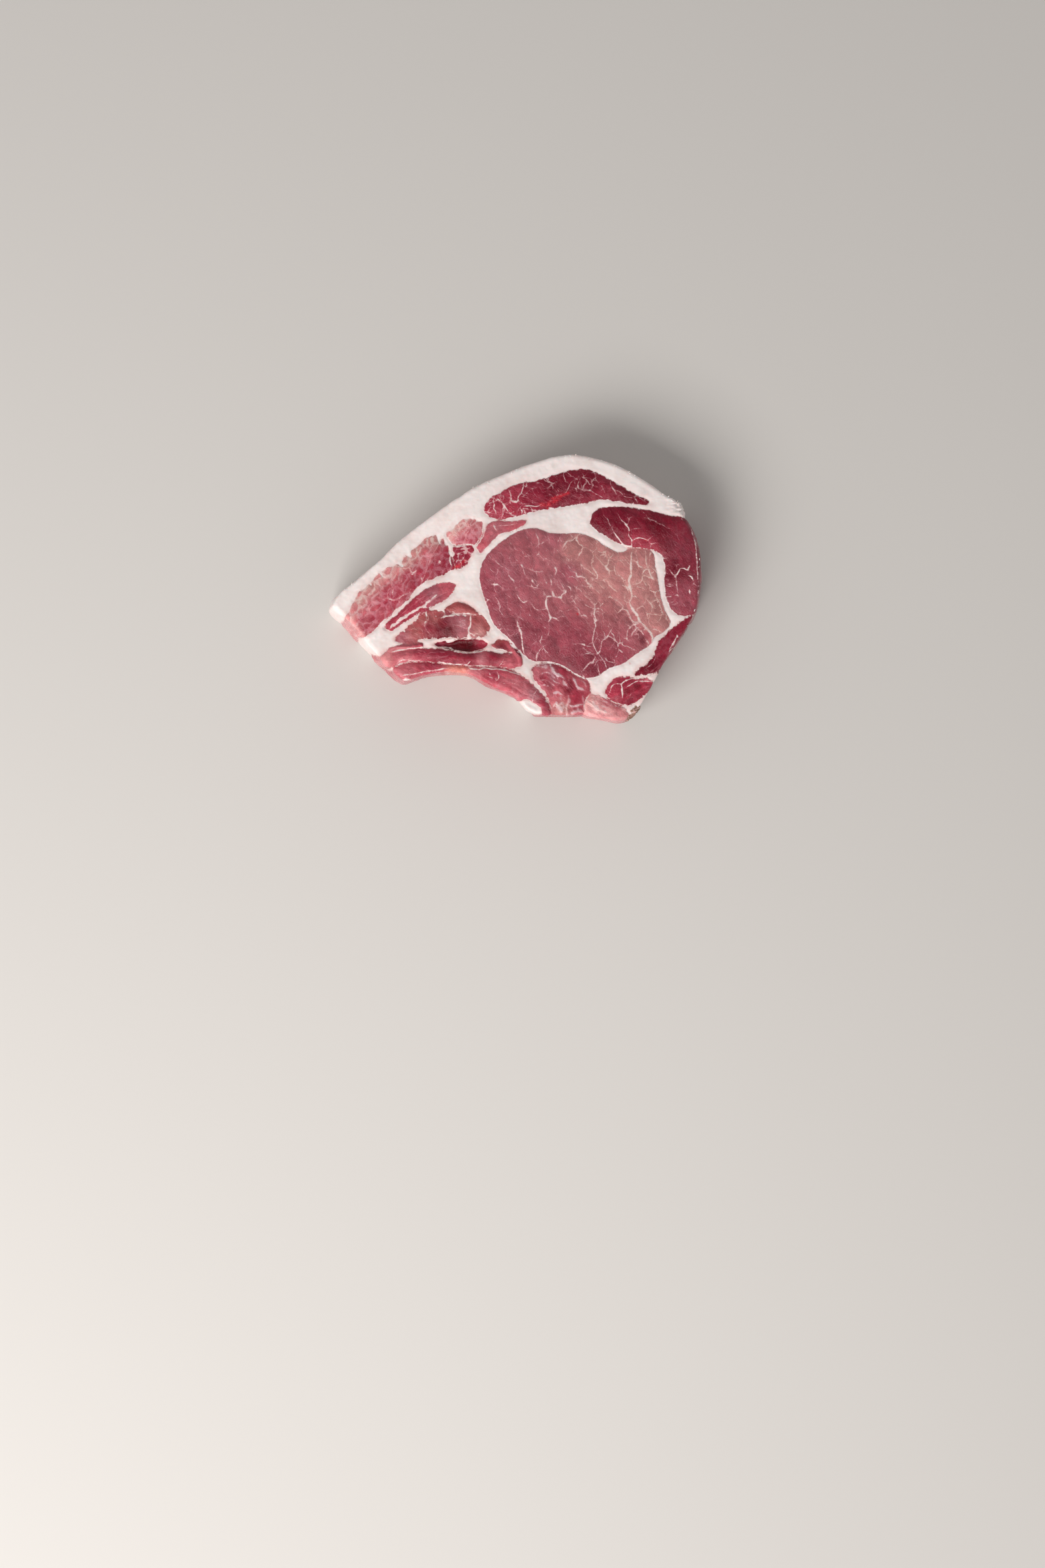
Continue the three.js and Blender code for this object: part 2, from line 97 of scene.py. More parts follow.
EYE_THREADS = [
    (STEM, [(948, 829), (947, 839), (946, 851), (947, 863), (944, 872), (945, 882), (946, 888)]),
    (BRANCH, [(946, 884), (948, 896), (945, 906), (951, 917)]),
    (STEM, [(946, 910), (951, 917), (956, 924), (959, 932), (963, 936), (969, 942), (975, 948), (978, 955),
            (979, 962), (977, 970)]),
    (BRANCH, [(933, 879), (940, 881), (944, 883)]),
    (STREAK, [(922, 900), (928, 903), (934, 909), (933, 914), (926, 921)]),
    (STREAK, [(938, 894), (938, 902), (943, 905)]),
    (BRANCH, [(933, 914), (940, 916), (943, 921), (947, 929), (951, 933), (958, 934)]),
    (BRANCH, [(959, 936), (950, 938), (946, 942), (942, 947), (941, 954), (940, 960), (944, 963)]),
    (STREAK, [(938, 937), (945, 941)]),
    (STREAK, [(962, 941), (958, 945), (953, 949)]),
    (STREAK, [(949, 877), (958, 876), (963, 871), (964, 866), (967, 864), (975, 867), (979, 868)]),
    (BRANCH, [(964, 861), (968, 855), (973, 855), (975, 861), (979, 867)]),
    (KNOT, [(976, 865), (979, 867), (981, 870)]),
    (STREAK, [(968, 832), (969, 841), (972, 852)]),
    (STREAK, [(966, 872), (970, 879)]),
    (BRANCH, [(978, 852), (984, 857), (988, 862)]),
    (STREAK, [(968, 898), (976, 905), (979, 911), (977, 920)]),
    (STREAK, [(976, 905), (983, 901), (991, 900)]),
    (WISP, [(979, 910), (984, 913)]),
    (WISP, [(975, 922), (974, 928)]),
    (WISP, [(985, 935), (990, 930), (994, 921)]),
    (STREAK, [(920, 830), (919, 834), (913, 839), (912, 847), (909, 852), (914, 857), (915, 864)]),
    (KNOT, [(908, 850), (911, 854), (915, 857)]),
    (WISP, [(914, 857), (921, 856)]),
    (WISP, [(930, 842), (935, 845), (937, 850)]),
    (WISP, [(939, 836), (943, 840)]),
    (WISP, [(925, 857), (929, 863), (934, 867)]),
    (STREAK, [(913, 878), (919, 883), (927, 888)]),
    (STREAK, [(900, 878), (906, 883)]),
    (WISP, [(905, 868), (912, 872), (914, 879)]),
    (BRANCH, [(902, 971), (904, 962), (911, 956), (918, 943)]),
    (STREAK, [(887, 904), (893, 908), (896, 904)]),
    (BRANCH, [(893, 908), (892, 915), (892, 922), (894, 931), (892, 934), (894, 940), (890, 953),
            (890, 966), (897, 981), (902, 971)]),
    (KNOT, [(890, 928), (893, 932), (898, 931)]),
    (STREAK, [(886, 921), (892, 922)]),
    (STREAK, [(858, 967), (869, 966), (876, 968), (888, 971)]),
    (KNOT, [(874, 966), (878, 968)]),
    (STREAK, [(897, 981), (908, 996), (911, 1005)]),
    (STREAK, [(872, 984), (880, 981), (895, 982)]),
    (STREAK, [(895, 1003), (894, 996), (899, 991), (906, 993)]),
    (WISP, [(920, 962), (926, 955), (929, 946)]),
    (WISP, [(914, 976), (920, 968), (925, 961)]),
    (BRANCH, [(827, 886), (830, 892), (832, 895), (836, 896), (841, 897), (843, 893), (848, 889),
            (850, 886)]),
    (STEM, [(829, 889), (830, 893), (833, 896)]),
    (KNOT, [(839, 896), (842, 897), (843, 894)]),
    (STREAK, [(841, 897), (844, 902), (849, 906)]),
    (STREAK, [(848, 889), (846, 883), (840, 874), (838, 871)]),
    (KNOT, [(846, 886), (849, 889), (850, 887)]),
    (BRANCH, [(832, 896), (825, 895), (821, 896), (820, 902), (819, 908), (822, 915), (824, 923),
            (826, 927), (823, 933)]),
    (STEM, [(820, 899), (819, 905), (821, 912)]),
    (KNOT, [(824, 922), (826, 927), (823, 931)]),
    (STREAK, [(821, 896), (817, 891), (815, 887)]),
    (BRANCH, [(826, 927), (832, 927), (836, 930), (840, 933)]),
    (STREAK, [(836, 928), (842, 925), (848, 925)]),
    (STREAK, [(798, 906), (802, 912), (806, 915), (815, 915), (821, 914)]),
    (STREAK, [(823, 933), (824, 945), (821, 957)]),
    (BRANCH, [(776, 892), (780, 899), (786, 904), (789, 903), (794, 902)]),
    (STREAK, [(786, 898), (788, 902)]),
    (STREAK, [(798, 869), (800, 873), (804, 878), (806, 880), (806, 884)]),
    (KNOT, [(798, 870), (800, 874)]),
    (STREAK, [(806, 879), (809, 876)]),
    (BRANCH, [(818, 873), (820, 877)]),
    (KNOT, [(825, 868), (827, 874), (828, 880)]),
    (BRANCH, [(832, 851), (835, 856), (833, 864)]),
    (KNOT, [(832, 851), (835, 856)]),
    (STREAK, [(822, 844), (824, 850)]),
    (STREAK, [(783, 847), (785, 852), (786, 858), (789, 864), (793, 870)]),
    (KNOT, [(782, 847), (785, 851)]),
    (STREAK, [(742, 840), (746, 844), (752, 850), (757, 851), (763, 856), (768, 857)]),
    (STREAK, [(765, 838), (767, 845), (770, 850)]),
    (BRANCH, [(763, 860), (766, 867), (771, 872), (771, 876)]),
    (BRANCH, [(738, 877), (743, 877), (748, 878), (754, 883)]),
    (STREAK, [(743, 873), (742, 882), (746, 890)]),
    (KNOT, [(741, 876), (744, 878)]),
    (STREAK, [(741, 894), (746, 900), (751, 909), (750, 915), (756, 924), (759, 927)]),
    (KNOT, [(747, 906), (750, 910)]),
    (BRANCH, [(763, 913), (768, 917)]),
    (STREAK, [(774, 920), (777, 925), (785, 931)]),
    (KNOT, [(776, 932), (777, 937), (776, 941)]),
    (BRANCH, [(776, 934), (780, 945), (784, 966), (787, 985)]),
    (KNOT, [(780, 944), (783, 952)]),
    (STREAK, [(780, 945), (774, 952), (770, 950)]),
    (STREAK, [(805, 993), (805, 985), (810, 975), (820, 968)]),
    (BRANCH, [(861, 859), (864, 860), (866, 866), (870, 865), (878, 868), (881, 874), (886, 878),
            (890, 884)]),
    (STREAK, [(876, 853), (883, 856), (889, 861), (896, 867)]),
    (STREAK, [(893, 886), (899, 891)]),
    (STREAK, [(864, 883), (869, 885), (873, 889)]),
    (STREAK, [(876, 892), (882, 898), (887, 900)]),
    (BRANCH, [(851, 880), (855, 882), (857, 887)]),
    (STREAK, [(862, 910), (867, 914), (870, 920), (873, 924), (879, 924), (881, 928)]),
    (KNOT, [(876, 923), (880, 926)]),
    (STREAK, [(840, 857), (846, 864), (849, 868)]),
    (STREAK, [(847, 844), (855, 852), (860, 858)]),
    (WISP, [(831, 873), (838, 881), (844, 887)]),
    (STREAK, [(863, 893), (866, 900), (869, 903)]),
    (STREAK, [(858, 898), (862, 904), (865, 908)]),
    (BRANCH, [(846, 820), (851, 813), (858, 811), (866, 804)]),
    (STREAK, [(851, 813), (846, 820), (843, 826)]),
    (BRANCH, [(804, 800), (808, 810), (809, 817)]),
    (STREAK, [(809, 817), (804, 821)]),
    (WISP, [(893, 833), (900, 842), (909, 851)]),
    (WISP, [(764, 818), (767, 830), (765, 838)]),
    (WISP, [(745, 935), (751, 947), (759, 958)]),
    (WISP, [(753, 934), (758, 945), (766, 956)]),
    (HAIR, [(763, 950), (770, 961), (777, 972)]),
    (WISP, [(770, 972), (775, 981), (783, 986)]),
    (WISP, [(806, 993), (806, 983), (803, 975), (805, 968)]),
    (HAIR, [(806, 984), (812, 980), (818, 983)]),
    (WISP, [(790, 985), (796, 980), (799, 973)]),
    (HAIR, [(782, 945), (788, 955), (791, 966)]),
    (HAIR, [(796, 953), (803, 962), (812, 967)]),
]
SPINE_THREADS = [
    (THREAD, [(904, 768), (906, 774), (912, 779), (914, 786), (918, 793), (922, 800), (927, 807),
            (933, 815)]),
    (VEIN, [(922, 800), (927, 807), (933, 815), (940, 819), (948, 820)]),
    (THREAD, [(914, 801), (918, 800), (922, 800)]),
    (HAIR, [(901, 796), (906, 792), (910, 793)]),
    (THREAD, [(926, 770), (929, 775), (934, 782), (940, 788)]),
    (VEIN, [(934, 782), (940, 789), (944, 795), (944, 803), (948, 811), (948, 820)]),
    (THREAD, [(940, 789), (943, 786), (944, 781), (946, 777), (950, 776)]),
    (THREAD, [(944, 781), (941, 777)]),
    (THREAD, [(945, 796), (950, 794), (957, 793), (963, 794)]),
    (HAIR, [(954, 794), (953, 798)]),
    (VEIN, [(948, 812), (953, 809), (960, 807), (968, 809), (972, 811)]),
    (THREAD, [(971, 811), (975, 808), (979, 805), (983, 805)]),
    (THREAD, [(972, 811), (974, 814), (978, 816), (984, 815), (989, 815)]),
    (THREAD, [(978, 816), (977, 819), (977, 823)]),
    (HAIR, [(956, 809), (959, 815), (964, 821)]),
    (HAIR, [(944, 803), (940, 808)]),
    (THREAD, [(967, 777), (973, 779), (979, 781), (985, 783)]),
    (HAIR, [(968, 780), (973, 779)]),
    (THREAD, [(979, 781), (988, 786), (995, 789), (1001, 792), (1009, 794)]),
    (HAIR, [(995, 789), (994, 785)]),
    (FILM, [(933, 816), (940, 819), (948, 820)]),
    (FAINT, [(931, 818), (936, 822), (944, 824)]),
    (FAINT, [(1010, 811), (1014, 819), (1020, 822), (1025, 825)]),
    (FAINT, [(1010, 798), (1017, 806), (1020, 816)]),
    (HAIR, [(1000, 800), (1006, 812), (1010, 824)]),
    (HAIR, [(994, 803), (1000, 815), (1004, 826)]),
    (THREAD, [(1002, 853), (1009, 860), (1014, 867), (1016, 881), (1017, 890)]),
    (VEIN, [(1014, 867), (1018, 858), (1021, 853), (1027, 853), (1031, 855), (1035, 850)]),
    (VEIN, [(1033, 856), (1034, 849)]),
    (FILM, [(1033, 864), (1037, 866), (1040, 872)]),
    (FILM, [(1034, 885), (1035, 892)]),
    (VEIN, [(1013, 894), (1017, 893), (1019, 896)]),
    (VEIN, [(1002, 876), (1007, 877)]),
    (VEIN, [(1000, 895), (1008, 895)]),
    (THREAD, [(1008, 907), (1013, 906), (1018, 903)]),
    (THREAD, [(1025, 905), (1029, 911)]),
    (HAIR, [(1024, 872), (1027, 878)]),
    (VEIN, [(1037, 792), (1042, 812), (1045, 837), (1047, 876)]),
    (HAIR, [(1007, 854), (1011, 866), (1014, 873)]),
    (HAIR, [(1025, 880), (1030, 888)]),
    (FILM, [(931, 817), (940, 820), (947, 821)]),
    (THREAD, [(992, 836), (998, 838), (1003, 836)]),
    (FAINT, [(994, 845), (999, 848), (1005, 847), (1009, 850)]),
    (THREAD, [(996, 858), (1001, 860), (1004, 863)]),
    (HAIR, [(997, 868), (1003, 867)]),
    (THREAD, [(999, 878), (1004, 880), (1010, 879)]),
    (FAINT, [(1001, 890), (1006, 892), (1009, 897)]),
    (THREAD, [(1005, 903), (1010, 903), (1014, 899)]),
    (HAIR, [(991, 829), (997, 826)]),
    (THREAD, [(1012, 856), (1014, 862), (1011, 868)]),
    (THREAD, [(1017, 872), (1014, 879), (1017, 886)]),
]
CAP_THREADS = [
    (VEIN, [(763, 733), (766, 740), (767, 746), (768, 752), (773, 754), (777, 752), (778, 746), (781, 742),
            (783, 736), (786, 729), (786, 724)]),
    (BAND, [(768, 750), (772, 753), (777, 752)]),
    (VEIN, [(741, 744), (741, 748), (740, 753), (742, 757), (741, 763), (743, 767), (744, 772)]),
    (VEIN, [(742, 748), (748, 749), (752, 753), (756, 758), (760, 763), (762, 767), (765, 770),
            (772, 767)]),
    (THREAD, [(733, 748), (737, 752), (740, 753)]),
    (THREAD, [(749, 737), (748, 743), (751, 747), (753, 752)]),
    (THREAD, [(731, 760), (736, 758), (740, 759)]),
    (THREAD, [(757, 757), (763, 754), (768, 753)]),
    (THREAD, [(743, 767), (738, 767), (731, 771)]),
    (THREAD, [(744, 769), (749, 769), (753, 768)]),
    (VEIN, [(756, 758), (755, 767), (755, 772), (752, 777)]),
    (THREAD, [(755, 741), (756, 747), (754, 751)]),
    (FILM, [(755, 757), (758, 760), (756, 763)]),
    (THREAD, [(784, 745), (792, 738), (797, 734)]),
    (FILM, [(780, 763), (783, 767), (783, 771)]),
    (VEIN, [(785, 760), (794, 759), (806, 760), (812, 756)]),
    (HAIR, [(826, 733), (832, 733), (835, 737), (841, 741), (846, 743)]),
    (THREAD, [(846, 742), (850, 737), (854, 729), (859, 722), (864, 721)]),
    (WISP, [(835, 737), (838, 744), (836, 750)]),
    (WISP, [(808, 728), (815, 733), (822, 733), (826, 733)]),
    (WISP, [(792, 728), (798, 733), (806, 731)]),
    (WISP, [(783, 745), (793, 748), (802, 754), (812, 756)]),
    (WISP, [(798, 733), (801, 741), (809, 747)]),
    (HAIR, [(822, 722), (828, 719), (832, 716)]),
    (HAIR, [(842, 725), (845, 731), (847, 737)]),
    (HAIR, [(804, 732), (809, 739), (813, 744)]),
    (THREAD, [(871, 716), (869, 722), (867, 729), (869, 734), (876, 735), (883, 736)]),
    (VEIN, [(868, 727), (868, 732)]),
    (VEIN, [(882, 736), (887, 736)]),
    (THREAD, [(885, 735), (889, 738), (894, 742), (901, 744), (908, 749)]),
    (THREAD, [(886, 735), (889, 729), (888, 723), (892, 717), (894, 711)]),
    (WISP, [(889, 729), (897, 731), (908, 733), (916, 732)]),
    (THREAD, [(917, 719), (916, 726), (919, 733), (926, 743), (925, 750)]),
    (WISP, [(849, 712), (856, 715), (862, 713)]),
    (WISP, [(852, 748), (861, 744), (869, 747), (878, 745)]),
    (HAIR, [(897, 723), (908, 725), (916, 723)]),
    (THREAD, [(920, 734), (932, 740), (937, 745), (951, 747)]),
    (HAIR, [(935, 727), (940, 736)]),
    (SOFT, [(658, 812), (656, 821), (650, 830), (647, 836), (643, 845), (640, 853), (637, 864), (634, 869),
            (632, 877)]),
    (VEIN, [(656, 809), (659, 815)]),
    (BAND, [(659, 841), (661, 844)]),
    (BAND, [(617, 861), (621, 859), (624, 856)]),
    (VEIN, [(632, 866), (634, 871)]),
    (SOFT, [(568, 896), (574, 899), (584, 897), (590, 900), (597, 898), (601, 894)]),
    (VEIN, [(581, 897), (590, 900), (597, 898)]),
    (VEIN, [(599, 898), (604, 893), (612, 890)]),
    (SOFT, [(584, 897), (581, 891), (584, 886)]),
    (SOFT, [(597, 898), (599, 903), (604, 906)]),
    (SOFT, [(600, 850), (607, 853), (613, 850)]),
    (FAINT, [(595, 928), (608, 916), (625, 902), (642, 892), (658, 886)]),
    (FAINT, [(644, 905), (654, 896), (664, 890), (671, 888)]),
    (FAINT, [(632, 905), (640, 899), (652, 891)]),
    (SOFT, [(595, 858), (592, 866), (588, 872)]),
    (SOFT, [(658, 841), (661, 845)]),
    (FAINT, [(642, 815), (642, 821), (638, 826)]),
    (SOFT, [(612, 831), (615, 838), (616, 845), (614, 850), (615, 855), (618, 860), (624, 858),
            (626, 853)]),
    (VEIN, [(616, 856), (619, 859), (623, 858)]),
    (FAINT, [(634, 839), (637, 845)]),
    (FAINT, [(598, 852), (602, 860), (604, 866), (600, 873), (596, 878)]),
    (SOFT, [(602, 869), (603, 873)]),
    (SOFT, [(588, 861), (590, 869), (587, 877), (590, 884), (588, 889)]),
    (VEIN, [(588, 885), (589, 892)]),
    (FAINT, [(567, 875), (573, 880), (570, 885)]),
    (SOFT, [(559, 885), (558, 891), (560, 893)]),
    (SOFT, [(617, 882), (614, 887), (618, 893)]),
    (FAINT, [(622, 867), (626, 870), (630, 868), (635, 866)]),
    (FAINT, [(647, 864), (642, 866), (637, 870)]),
    (FAINT, [(565, 877), (568, 889), (577, 895), (586, 898)]),
    (SOFT, [(559, 903), (553, 909), (556, 918)]),
    (FAINT, [(583, 909), (577, 918), (565, 924)]),
    (FAINT, [(539, 904), (543, 915), (542, 924)]),
    (THREAD, [(740, 790), (760, 788), (778, 785)]),
    (VEIN, [(740, 786), (743, 793), (746, 795)]),
    (BAND, [(672, 818), (685, 820), (700, 817), (714, 819)]),
    (FILM, [(673, 817), (678, 829), (675, 838), (677, 850)]),
    (THREAD, [(682, 826), (687, 831), (693, 832), (699, 829)]),
    (THREAD, [(693, 832), (694, 838), (690, 844)]),
    (THREAD, [(700, 822), (702, 829), (705, 834)]),
    (THREAD, [(683, 838), (687, 840), (690, 845)]),
    (BAND, [(726, 789), (724, 804), (714, 819)]),
    (THREAD, [(701, 783), (704, 795), (699, 804), (703, 812)]),
    (BAND, [(705, 803), (706, 806)]),
    (THREAD, [(686, 784), (690, 793), (686, 800)]),
    (THREAD, [(690, 793), (697, 798), (699, 804)]),
    (THREAD, [(678, 800), (686, 803), (690, 811)]),
    (HAIR, [(713, 788), (715, 798), (711, 806)]),
]
RIB_THREADS = [
    (THREAD, [(583, 944), (600, 932), (622, 916), (634, 908), (645, 899), (655, 892)]),
    (BAND, [(585, 942), (594, 934), (606, 926), (618, 918), (630, 911)]),
    (BAND, [(622, 916), (630, 911), (637, 909), (641, 903), (647, 901)]),
    (VEIN, [(645, 902), (650, 896), (655, 892)]),
    (VEIN, [(637, 909), (642, 911), (648, 908)]),
    (FAINT, [(620, 907), (628, 901), (634, 896)]),
    (FILM, [(660, 928), (668, 924), (678, 923), (687, 921), (699, 921), (711, 923)]),
    (FILM, [(706, 923), (706, 932), (705, 939), (703, 944), (704, 950), (708, 952), (713, 955)]),
    (SOFT, [(667, 916), (667, 924)]),
    (SOFT, [(639, 919), (642, 927), (640, 933), (637, 938), (640, 946), (646, 954)]),
    (VEIN, [(639, 932), (637, 938)]),
    (FAINT, [(640, 933), (632, 931), (626, 927)]),
    (FAINT, [(640, 934), (648, 936), (656, 941)]),
    (FAINT, [(628, 940), (634, 946), (634, 954)]),
    (FAINT, [(650, 922), (652, 930), (657, 936)]),
    (FAINT, [(664, 926), (668, 933), (674, 938)]),
    (FAINT, [(674, 926), (678, 933), (681, 940), (680, 945)]),
    (SOFT, [(682, 937), (691, 939), (698, 943), (703, 943)]),
    (SOFT, [(612, 946), (620, 942), (627, 946)]),
    (FAINT, [(606, 958), (618, 956), (628, 959)]),
    (VEIN, [(685, 952), (687, 957), (695, 958)]),
    (THREAD, [(711, 955), (715, 951), (722, 953)]),
    (FILM, [(588, 979), (605, 975), (625, 972), (643, 971), (658, 970), (673, 971), (687, 977), (699, 979),
            (711, 979), (724, 977), (736, 972)]),
    (FILM, [(736, 972), (747, 974), (755, 975), (761, 978), (765, 983)]),
    (VEIN, [(595, 996), (604, 990), (618, 990), (632, 992), (640, 995)]),
    (FILM, [(658, 992), (673, 996), (687, 997), (699, 998), (706, 1003), (718, 1005), (726, 1002),
            (739, 1004), (752, 1005), (775, 1011), (787, 1017)]),
    (VEIN, [(701, 998), (706, 992)]),
    (VEIN, [(748, 1002), (752, 996), (755, 989)]),
    (VEIN, [(602, 1014), (621, 1011), (643, 1006), (673, 1003)]),
    (FILM, [(601, 1020), (621, 1017), (639, 1012), (658, 1009), (677, 1008), (702, 1012)]),
    (VEIN, [(734, 1009), (737, 1015)]),
    (VEIN, [(746, 1009), (748, 1018), (744, 1023)]),
    (THREAD, [(765, 1024), (775, 1028), (781, 1031)]),
    (HAIR, [(715, 1010), (728, 1018), (745, 1030)]),
]
CHINE_THREADS = [
    (FAINT, [(852, 1013), (855, 1020)]),
    (FAINT, [(812, 1019), (824, 1022), (834, 1028), (842, 1026)]),
    (SOFT, [(852, 1045), (853, 1054), (850, 1062), (852, 1073)]),
    (VEIN, [(852, 1047), (853, 1052)]),
    (SOFT, [(875, 1047), (876, 1055), (878, 1064)]),
    (SOFT, [(856, 1073), (862, 1070), (874, 1068), (881, 1067)]),
    (VEIN, [(830, 1062), (835, 1056), (838, 1060), (843, 1056)]),
    (SOFT, [(878, 1050), (888, 1057), (897, 1065), (912, 1070)]),
    (FAINT, [(904, 1053), (914, 1057), (926, 1063)]),
    (FILM, [(947, 1019), (938, 1022), (932, 1027), (933, 1033), (934, 1040), (933, 1048)]),
    (VEIN, [(932, 1027), (923, 1026), (918, 1030), (916, 1036), (914, 1042)]),
    (FILM, [(947, 1019), (956, 1018), (970, 1014), (982, 1010)]),
    (VEIN, [(939, 1032), (946, 1027), (956, 1022), (964, 1022), (978, 1023)]),
    (THREAD, [(944, 1045), (947, 1040)]),
    (VEIN, [(1017, 954), (1010, 965), (1003, 977)]),
    (THREAD, [(985, 985), (978, 996), (968, 1003)]),
    (THREAD, [(1000, 985), (1008, 973), (1012, 962)]),
    (FILM, [(1016, 952), (1018, 956)]),
]
THREADS = EYE_THREADS + SPINE_THREADS + CAP_THREADS + RIB_THREADS + CHINE_THREADS


def curve_through(points, spacing=0.4):
    """A smooth course through the points, as closely spaced points."""
    knots = np.concatenate([points[:1], points, points[-1:]])
    course = []
    for before, start, end, after in zip(knots, knots[1:], knots[2:], knots[3:]):
        count = max(int(np.linalg.norm(end - start) / spacing), 1)
        t = np.linspace(0, 1, count, endpoint=False)[:, None]
        squared = (2 * before - 5 * start + 4 * end - after) * t ** 2
        cubed = (3 * start - before - 3 * end + after) * t ** 3
        course.append(0.5 * (2 * start + (end - before) * t + squared + cubed))
    return np.concatenate([*course, points[-1:]])


def distances_to(course, points, widths):
    """How far points lie outside a course whose half width changes, and how much they lie above it."""
    gaps = np.full(len(points), np.inf)
    above = np.zeros(len(points))
    for start, end, wide_at_start, wide_at_end in zip(course, course[1:], widths, widths[1:]):
        along = end - start
        offset = points - start
        t = np.clip(offset @ along / (along @ along), 0, 1)
        offset -= t[:, None] * along
        sideways = np.linalg.norm(offset, axis=1)
        own_gaps = sideways - wide_at_start - t * (wide_at_end - wide_at_start)
        nearer = own_gaps < gaps
        gaps[nearer] = own_gaps[nearer]
        above[nearer] = (offset[:, 1] / np.maximum(sideways, 0.01))[nearer]
    return gaps, above


def strayed(course):
    """A course that wanders a little from side to side."""
    drift = [noise.noise_vector(Vector((x, y, 0)) / STRAY_LENGTH)[:2] for x, y in course]
    return course + STRAY * np.array(drift)


def tapered(course, half_width):
    """The half widths along a course that is uneven, and thins out towards its ends."""
    steps = np.concatenate([[0], np.cumsum(np.linalg.norm(np.diff(course, axis=0), axis=1))])
    from_end = np.minimum(steps, steps[-1] - steps)
    uneven = np.array([1 + UNEVEN * noise.noise(Vector((x, y, 5)) / UNEVEN_LENGTH) for x, y in course])
    thinning = np.clip(from_end / min(TAPER, 0.5 * steps[-1]), THIN_END, 1) ** 0.6
    return half_width * np.clip(uneven, 0.3, 2) * thinning


noise.seed_set(STRAY_SEED)
threads = []
for (half_width, whiteness), pixels in THREADS:
    course = strayed(curve_through(on_face(pixels)))
    threads.append((course, tapered(course, half_width), whiteness))

# The flesh
# Muscles and fat have grown together into one soft body, so one skin is laid over all the solids:
# rings up the side, a fine net of points over the upper cut face, closer along the threads, and a
# wider one underneath.
AROUND = 720
RISE = (0, 0.012, 0.035, 0.07, 0.12, 0.18, 0.24, 0.3, 0.36, 0.42, 0.48, 0.54, 0.6, 0.66, 0.72, 0.78, 0.84,
        0.89, 0.93, 0.96, 0.98, 0.995)  # heights of the rings, as shares of the rim's
FINE = 0.45  # mm between the points of the upper face
COARSE = 1.1  # and of the lower one
BESIDE_THREAD = 0.36  # mm from a thread's middle to the extra points on both sides of it
CROWDED = 0.25  # mm between points, under which one of them goes
MEMBRANE_STEP = 0.4  # mm of the net on which the membranes between muscles are looked for
WIDEST_MEMBRANE = 1.3  # mm from its middle to the muscles
SWOLLEN = 0.2  # mm that the solids are blown up by while they are probed, which closes the gaps between them
RIM_INSET = 2.4  # mm in from the side at which the height of the rim is taken
UNEVEN_NET = 0.12  # share of the spacing by which the net's points are moved about
SMOOTHINGS = 14
DRAWN_IN = 0.6  # how far each smoothing draws the corners in
PUSHED_OUT = 0.61  # and how far it pushes them out again
CENTRE = np.array([4.9, -0.1])
FAR = 120.0
WHITE_NODES = ("fat", "gristle", "bone_chip")
MUSCLES = sorted(set(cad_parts) - set(WHITE_NODES))
random = np.random.default_rng(7)


def welded(name):
    """The corners of a node in millimetres, and its triangles, with the loose triangles joined."""
    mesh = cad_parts[name].data
    loose = np.empty(len(mesh.vertices) * 3, dtype=np.float32)
    mesh.vertices.foreach_get("co", loose)
    mesh.calc_loop_triangles()
    triangles = np.empty(len(mesh.loop_triangles) * 3, dtype=np.int32)
    mesh.loop_triangles.foreach_get("vertices", triangles)
    microns = np.round(loose.reshape(-1, 3).astype(float) * 1e6)
    corners, joined = np.unique(microns, axis=0, return_inverse=True)
    return corners / 1000, joined.reshape(-1)[triangles].reshape(-1, 3)


def blown_up(corners, triangles, by):
    """The corners moved outwards by a distance."""
    a, b, c = (corners[triangles[:, side]] for side in range(3))
    facing = np.cross(b - a, c - a)
    normals = np.zeros_like(corners)
    for side in range(3):
        np.add.at(normals, triangles[:, side], facing)
    return corners + by * normals / np.linalg.norm(normals, axis=1, keepdims=True)


def tree_of(names, by=0.0):
    """A search tree over the surfaces of some nodes, and for each of its faces the number of its node."""
    corners, triangles, owners = [], [], []
    count = 0
    for number, name in enumerate(names):
        own_corners, own_triangles = welded(name)
        corners.append(blown_up(own_corners, own_triangles, by))
        triangles.append(own_triangles + count)
        owners.append(np.full(len(own_triangles), number))
        count += len(own_corners)
    tree = BVHTree.FromPolygons(np.concatenate(corners).tolist(), np.concatenate(triangles).tolist())
    return tree, np.concatenate(owners)


shell, _ = tree_of(sorted(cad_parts), SWOLLEN)
meat_tree, meat_owner = tree_of(MUSCLES)


def height_at(x, y):
    """Height of the upper face over a place."""
    return shell.ray_cast(Vector((x, y, FAR)), Vector((0, 0, -1)))[0].z - SWOLLEN


def reach(azimuth, height):
    """How far the side stands from the centre, in one direction and at one height."""
    way = Vector((math.cos(azimuth), math.sin(azimuth), 0))
    start = Vector((*CENTRE, height)) + FAR * way
    return FAR - shell.ray_cast(start, -way)[3] - SWOLLEN


def turned(azimuths, radii):
    return CENTRE + np.stack([radii * np.cos(azimuths), radii * np.sin(azimuths)], axis=-1)


# Directions from the centre that step evenly round the outline
sweep = np.linspace(-math.pi, math.pi, 4 * AROUND, endpoint=False)
half_way = height_at(*CENTRE) / 2
outline = turned(sweep, np.array([reach(azimuth, half_way) for azimuth in sweep]))
steps = np.linalg.norm(np.roll(outline, -1, axis=0) - outline, axis=1)
walked = np.concatenate([[0], np.cumsum(steps)])
azimuths = np.interp(np.arange(AROUND) * walked[-1] / AROUND, walked, np.append(sweep, math.pi))

